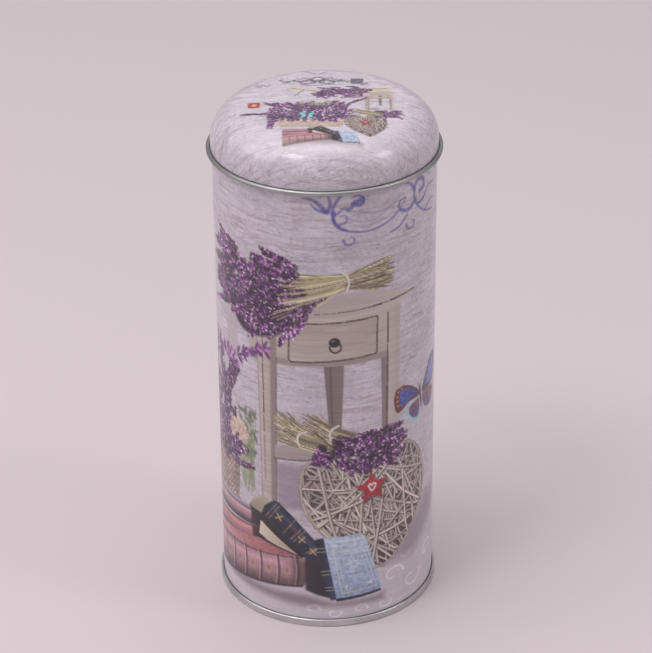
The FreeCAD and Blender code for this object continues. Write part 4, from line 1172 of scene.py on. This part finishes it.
class Finish:
    """A node material built step by step."""

    def __init__(self, name):
        self.material = bpy.data.materials.new(name)
        self.material.use_nodes = True
        self.tree = self.material.node_tree
        self.shader = self.tree.nodes["Principled BSDF"]

    def node(self, kind, **settings):
        node = self.tree.nodes.new(kind)
        for key, value in settings.items():
            setattr(node, key, value)
        return node

    def join(self, source, target):
        self.tree.links.new(source, target)

    def set(self, **values):
        for key, value in values.items():
            self.shader.inputs[key.replace("_", " ")].default_value = value

    def skin(self, colour_by, dark, light, rough_by, rough):
        """Base colour and roughness, each led by a pattern."""
        self.join(self.mixed(colour_by, dark, light), self.shader.inputs["Base Color"])
        self.join(self.ramp(rough_by, *rough), self.shader.inputs["Roughness"])

    def place(self, scale=(1, 1, 1)):
        """Object coordinates, stretched."""
        coords = self.node("ShaderNodeTexCoord")
        mapping = self.node("ShaderNodeMapping")
        mapping.inputs["Scale"].default_value = scale
        self.join(coords.outputs["Object"], mapping.inputs["Vector"])
        return mapping.outputs["Vector"]

    def noise(self, scale, detail=2.0, stretch=(1, 1, 1), roughness=0.5):
        noise = self.node("ShaderNodeTexNoise")
        noise.inputs["Scale"].default_value = scale
        noise.inputs["Detail"].default_value = detail
        noise.inputs["Roughness"].default_value = roughness
        self.join(self.place(stretch), noise.inputs["Vector"])
        return noise.outputs["Fac"]

    def ramp(self, source, low, high, start=0.0, stop=1.0):
        """Turn a 0 to 1 pattern into values from low to high."""
        node = self.node("ShaderNodeMapRange")
        node.inputs["From Min"].default_value = start
        node.inputs["From Max"].default_value = stop
        node.inputs["To Min"].default_value = low
        node.inputs["To Max"].default_value = high
        self.join(source, node.inputs["Value"])
        return node.outputs["Result"]

    def math(self, operation, a, b):
        node = self.node("ShaderNodeMath", operation=operation)
        for socket, value in zip(node.inputs, (a, b)):
            if isinstance(value, (int, float)):
                socket.default_value = value
            else:
                self.join(value, socket)
        return node.outputs["Value"]

    def scaled(self, colour, factor):
        """A colour made lighter or darker by a pattern."""
        node = self.node("ShaderNodeVectorMath", operation="SCALE")
        self.join(colour, node.inputs[0])
        self.join(factor, node.inputs["Scale"])
        return node.outputs["Vector"]

    def mixed(self, factor, a, b):
        node = self.node("ShaderNodeMix", data_type="RGBA")
        self.join(factor, node.inputs["Factor"])
        for socket, value in ((node.inputs[6], a), (node.inputs[7], b)):
            if isinstance(value, tuple):
                socket.default_value = (*value, 1.0)
            else:
                self.join(value, socket)
        return node.outputs[2]

    def bump(self, height, strength, distance):
        node = self.node("ShaderNodeBump")
        node.inputs["Strength"].default_value = strength
        node.inputs["Distance"].default_value = distance
        self.join(height, node.inputs["Height"])
        self.join(node.outputs["Normal"], self.shader.inputs["Normal"])


def printed_varnish(name, grain):
    """Litho print under a satin varnish. The flower areas get a fine petal texture."""
    finish = Finish(name)
    picture = finish.node("ShaderNodeAttribute", attribute_name="print")
    fibres = finish.ramp(finish.noise(1.0, 3, grain), 0.90, 1.09, 0.25, 0.75)
    petals = finish.node("ShaderNodeTexVoronoi", feature="F1")
    petals.inputs["Scale"].default_value = 1500
    finish.join(finish.place(), petals.inputs["Vector"])
    petal = finish.ramp(petals.outputs["Distance"], 1.35, 0.62, 0.0, 0.75)
    masked = finish.math("MULTIPLY", finish.math("SUBTRACT", petal, 1.0), picture.outputs["Alpha"])
    tone = finish.math("MULTIPLY", fibres, finish.math("ADD", masked, 1.0))
    finish.join(finish.scaled(picture.outputs["Color"], tone), finish.shader.inputs["Base Color"])
    finish.join(finish.ramp(finish.noise(240, 2), 0.34, 0.50), finish.shader.inputs["Roughness"])
    finish.set(Coat_Weight=0.55, Coat_Roughness=0.14, IOR=1.5)
    finish.bump(finish.noise(420, 3), 0.10, 0.0004)
    return finish.material


def tinplate(name, tone=0.62, grain=(40, 40, 2500), rough=(0.26, 0.42)):
    """Bare rolled tinplate: fine mill lines and a soft crystalline cloud."""
    finish = Finish(name)
    lines = finish.noise(1.0, 3, grain)
    clouds = finish.ramp(finish.noise(90, 3), 0, 1, 0.3, 0.7)
    finish.skin(clouds, (tone * 0.88, tone * 0.855, tone * 0.865),
                (tone * 1.12, tone * 1.09, tone * 1.10), lines, (*rough, 0.3, 0.7))
    finish.set(Metallic=1.0)
    finish.bump(lines, 0.06, 0.0002)
    return finish.material


def nickel_plate(name):
    finish = Finish(name)
    wear = finish.noise(700, 3)
    finish.skin(wear, (0.60, 0.58, 0.54), (0.74, 0.72, 0.68), wear, (0.14, 0.28))
    finish.set(Metallic=1.0)
    finish.bump(finish.noise(1800, 2), 0.05, 0.0001)
    return finish.material


def sealing_rubber(name):
    finish = Finish(name)
    blotch = finish.noise(900, 4)
    finish.skin(blotch, (0.05, 0.05, 0.055), (0.10, 0.10, 0.105), blotch, (0.6, 0.85))
    finish.bump(blotch, 0.2, 0.0002)
    return finish.material


def liner_card(name):
    finish = Finish(name)
    fibre = finish.noise(1300, 5, (1, 0.35, 1))
    flecks = finish.math("MULTIPLY", fibre, finish.noise(420, 4))
    finish.skin(flecks, (0.50, 0.46, 0.38), (0.80, 0.77, 0.69), fibre, (0.75, 0.95))
    finish.bump(fibre, 0.25, 0.0002)
    return finish.material


def give(obj, material):
    """Put one finish on a carried CAD piece."""
    if not obj.material_slots:
        obj.data.materials.append(material)
    for place in obj.material_slots:
        place.material = material


# ------------------------------------------------------------------- build

# painted shade: this tinplate is toned much darker (0.40) than the rest, standing in for the dark
# reflections on the rolled edges, the foot and the insides
bare = tinplate("bare_tinplate", 0.40, rough=(0.34, 0.5))
bare_inside = tinplate("bare_tinplate_inside", 0.58, (2500, 60, 60), (0.30, 0.46))
wall_print = printed_varnish("printed_wall", (90, 90, 1500))
lid_print = printed_varnish("printed_lid", (90, 1500, 1500))


# Columns of the bake layout: where each starts and how wide it is.
LAYOUT = {"outside": (0.005, 0.79), "inside": (0.80, 0.06), "mouth": (0.865, 0.05),
          "foot": (0.92, 0.02), "first_cut": (0.955, 0.008), "last_cut": (0.975, 0.008)}


def quarter_turn(places, first):
    """Degrees round the axis from the first edge of a quarter."""
    turn = np.degrees(np.arctan2(places[:, 1], places[:, 0]))
    return np.mod(turn - first + 90, 360) - 90


def dress_wall(obj, sheet, first):
    """Print, finishes and bake layout of one quarter of the wall; first is its start angle."""
    mesh = obj.data
    places, centre, vertex, face = measures_of(mesh)
    write_print(mesh, sheet.at(WALL_R * np.arctan2(places[:, 0], -places[:, 1]), places[:, 2]))
    radius, height = span_of(centre), centre[:, 2]
    outside = (radius > WALL_R - 0.04) & (height > 2.0) & (height < ROLL_Z)
    outside &= radius < WALL_R + 0.2
    share_out(mesh, outside & (height < PRINT_TOP), wall_print)

    kind = np.where(outside, "outside", "inside").astype("U9")
    kind[(height > ROLL_Z - 0.9) & ~outside] = "mouth"
    kind[(height < 2.4) & ~outside] = "foot"
    turn = quarter_turn(centre, first)
    kind[turn < 0.02] = "first_cut"
    kind[turn > 89.98] = "last_cut"
    kind = kind[face]
    part = np.clip(quarter_turn(places, first) / 90, 0, 1)[vertex]
    span, z = span_of(places)[vertex], places[vertex, 2]
    roll = np.arctan2(z - ROLL_Z, span - ROLL_R)
    across = {"foot": span - 39.6, "first_cut": span - 39, "last_cut": span - 39}
    u = np.zeros(len(kind))
    for name, (start, width) in LAYOUT.items():
        u = np.where(kind == name, start + width * across.get(name, part), u)
    v = 0.004 + 0.992 * z / 185
    v = np.where(kind == "mouth", 0.7 + 0.06 * roll + 0.004 * (span - ROLL_R), v)
    v = np.where(kind == "foot", 0.02 + 0.9 * part + 0.01 * z, v)
    write_layout(mesh, u, v)


def dress_lid(obj, sheet):
    """Print, finishes and bake layout of the lid. The picture runs over the shoulder."""
    mesh = obj.data
    places, centre, vertex, face = measures_of(mesh)
    span, height = span_of(places), places[:, 2]
    bend = np.clip(np.degrees(np.arctan2(height - SHOULDER_Z, span - SHOULDER_R)), 0, 90)
    path = np.where(span < SHOULDER_R, span, SHOULDER_R + SHOULDER * np.radians(90 - bend))
    skirt_path = SHOULDER_R + SHOULDER * math.pi / 2 + SHOULDER_Z - height
    path = np.where(height < SHOULDER_Z, skirt_path, path)
    way = places[:, :2] / np.maximum(span, 1e-6)[:, None]
    reach = np.minimum(path, LID_PICTURE_R)
    write_print(mesh, sheet.at(way[:, 0] * reach, way[:, 1] * reach))

    radius, level = span_of(centre), centre[:, 2]
    away = np.hypot(radius - SHOULDER_R, level - SHOULDER_Z)
    crown = np.where(radius < SHOULDER_R, level > LID_TOP - GAUGE / 2,
                     away > SHOULDER - GAUGE / 2)
    skirt = (np.abs(radius - LID_R) < 0.06) & (level > LID_ROLL_Z)
    outside = np.where(level > SHOULDER_Z, crown, skirt)
    share_out(mesh, outside & (level > LID_ROLL_Z + 1.0), lid_print)

    # the outside fills the layout; the rolled edge is a ring round it, the inside a small disc
    curled = ((level < LID_ROLL_Z + 0.9) & ~outside & (radius > LID_R - 0.3))[face]
    large = outside[face] | curled
    roll = np.degrees(np.arctan2(height - LID_ROLL_Z, span - LID_ROLL_R))[vertex]
    tube = np.hypot(span - LID_ROLL_R, height - LID_ROLL_Z)[vertex]
    ring = np.where(tube < LID_ROLL - GAUGE / 2, 52.4, 56.0) + np.mod(roll - 120, 360) / 360 * 3.2
    path, way = path[vertex], way[vertex]
    size = np.where(large, 0.497 * np.where(curled, ring, path), 0.080 * path) / LID_PICTURE_R
    middle = np.where(large, 0.5, 0.085)
    write_layout(mesh, middle + way[:, 0] * size, middle + way[:, 1] * size)


QUARTERS = {"front": -135, "right": -45, "back": 45, "left": 135}    # where each one starts
wall_quarter = spun_tin("wall_quarter", wall_section(), WALL_STEPS, 90)
crisp_shading(wall_quarter)
wall_sheet = paint_wall()
for side, first in QUARTERS.items():
    piece = turned_copy(wall_quarter, "printed_wall_" + side, first)
    dress_wall(piece, wall_sheet, first)
    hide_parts("body_wall")
    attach(piece, "tin")
bpy.data.objects.remove(wall_quarter, do_unlink=True)

lid = spun_tin("printed_lid", lid_section(), LID_STEPS, 360, closed=False)
crisp_shading(lid)
dress_lid(lid, paint_lid())
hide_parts("lid_shell")
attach(lid, "lid")

CARRIED = {
    "bottom_end": tinplate("base_tinplate", 0.60, (60, 60, 2500)),
    "seam_gasket": sealing_rubber("sealing_rubber"),
    "sifter_plate": bare_inside,
    "shutter_disc": tinplate("shutter_tinplate", 0.66, (60, 2500, 60), (0.24, 0.38)),
    "pivot_rivet": nickel_plate("nickel_rivet"),
    "spring_washer": nickel_plate("spring_steel"),
    "stop_pin": nickel_plate("nickel_pin"),
    "turn_knob": nickel_plate("nickel_knob"),
    "lid_liner": liner_card("liner_card"),
}
for node, material in CARRIED.items():
    give(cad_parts[node], material)


# ------------------------------------------------------------ studio, light

LENS_LENGTH = 140.607                  # millimetres, on a 36 mm frame
LENS_LEAN, LENS_ROLL = 28.503, -0.466  # degrees down, and degrees of tilt
LENS_AIM, LENS_DISTANCE = (0.00002, 0, 0.105321), 0.938077     # metres


def matte_paper(name, tone):
    finish = Finish(name)
    finish.join(finish.mixed(finish.noise(0.8, 2), tuple(v * 0.97 for v in tone), tone),
                finish.shader.inputs["Base Color"])
    finish.set(Roughness=0.9, Specular_IOR_Level=0.1)
    return finish.material


def studio():
    """A pale floor that bends up into a wall far behind the tin."""
    drop_selection()
    bpy.ops.mesh.primitive_plane_add(size=24, location=(0, 0, 0))
    floor = bpy.context.object
    floor.name = "studio_floor"
    bpy.ops.object.mode_set(mode="EDIT")
    bpy.ops.mesh.select_all(action="DESELECT")
    bpy.ops.object.mode_set(mode="OBJECT")
    for edge in floor.data.edges:
        edge.select = all(floor.data.vertices[i].co.y > 0 for i in edge.vertices)
    bpy.ops.object.mode_set(mode="EDIT")
    bpy.ops.mesh.extrude_region_move(TRANSFORM_OT_translate={"value": (0, 0, 3)})
    bpy.ops.object.mode_set(mode="OBJECT")
    bend = floor.modifiers.new("curve", "BEVEL")
    bend.width = 1.2
    bend.segments = 12
    bend.limit_method = "NONE"
    bpy.ops.object.modifier_apply(modifier="curve")
    bpy.ops.object.shade_smooth()
    floor.data.materials.append(matte_paper("studio_paper", (0.66, 0.595, 0.62)))


def softbox(name, elevation, azimuth, distance, size, power, tone=(1, 0.97, 0.98)):
    """A square light aimed at the middle of the tin; azimuth 0 is towards the camera."""
    e, a = math.radians(elevation), math.radians(azimuth)
    way = Vector((math.sin(a) * math.cos(e), -math.cos(a) * math.cos(e), math.sin(e)))
    light = bpy.data.lights.new(name, "AREA")
    light.shape = "SQUARE"
    light.size = size
    light.energy = power
    light.color = tone
    obj = bpy.data.objects.new(name, light)
    obj.location = Vector((0, 0, 0.1)) + way * distance
    obj.rotation_euler = way.to_track_quat("Z", "Y").to_euler()
    bpy.context.collection.objects.link(obj)


def camera():
    """A long lens from the front, looking down on the tin."""
    lean, roll = math.radians(LENS_LEAN), math.radians(LENS_ROLL)
    back = Vector((0, -math.cos(lean), math.sin(lean)))
    right = Vector((1, 0, 0))
    up = right.cross(-back)
    across = right * math.cos(roll) + up * math.sin(roll)
    rise = -right * math.sin(roll) + up * math.cos(roll)
    lens = bpy.data.cameras.new("camera")
    lens.sensor_width = 36
    lens.lens = LENS_LENGTH
    lens.clip_end = 50
    obj = bpy.data.objects.new("camera", lens)
    turn = Matrix((across, rise, back)).transposed().to_4x4()
    obj.matrix_world = Matrix.Translation(Vector(LENS_AIM) + back * LENS_DISTANCE) @ turn
    bpy.context.collection.objects.link(obj)
    bpy.context.scene.camera = obj


studio()
softbox("overhead", 82, -150, 2.0, 1.5, 15.2)
softbox("left_front", 59, -46, 1.3, 0.30, 3.0)
softbox("right_side", 41, 72, 1.3, 0.28, 1.8)
softbox("left_side", 40, -78, 1.4, 0.75, 3.9)
world = bpy.data.worlds.new("studio")
world.use_nodes = True
sky = world.node_tree.nodes["Background"]
sky.inputs["Color"].default_value = (1.0, 0.95, 0.965, 1)
sky.inputs["Strength"].default_value = 0.455
bpy.context.scene.world = world
bpy.context.scene.view_settings.view_transform = "Standard"
camera()
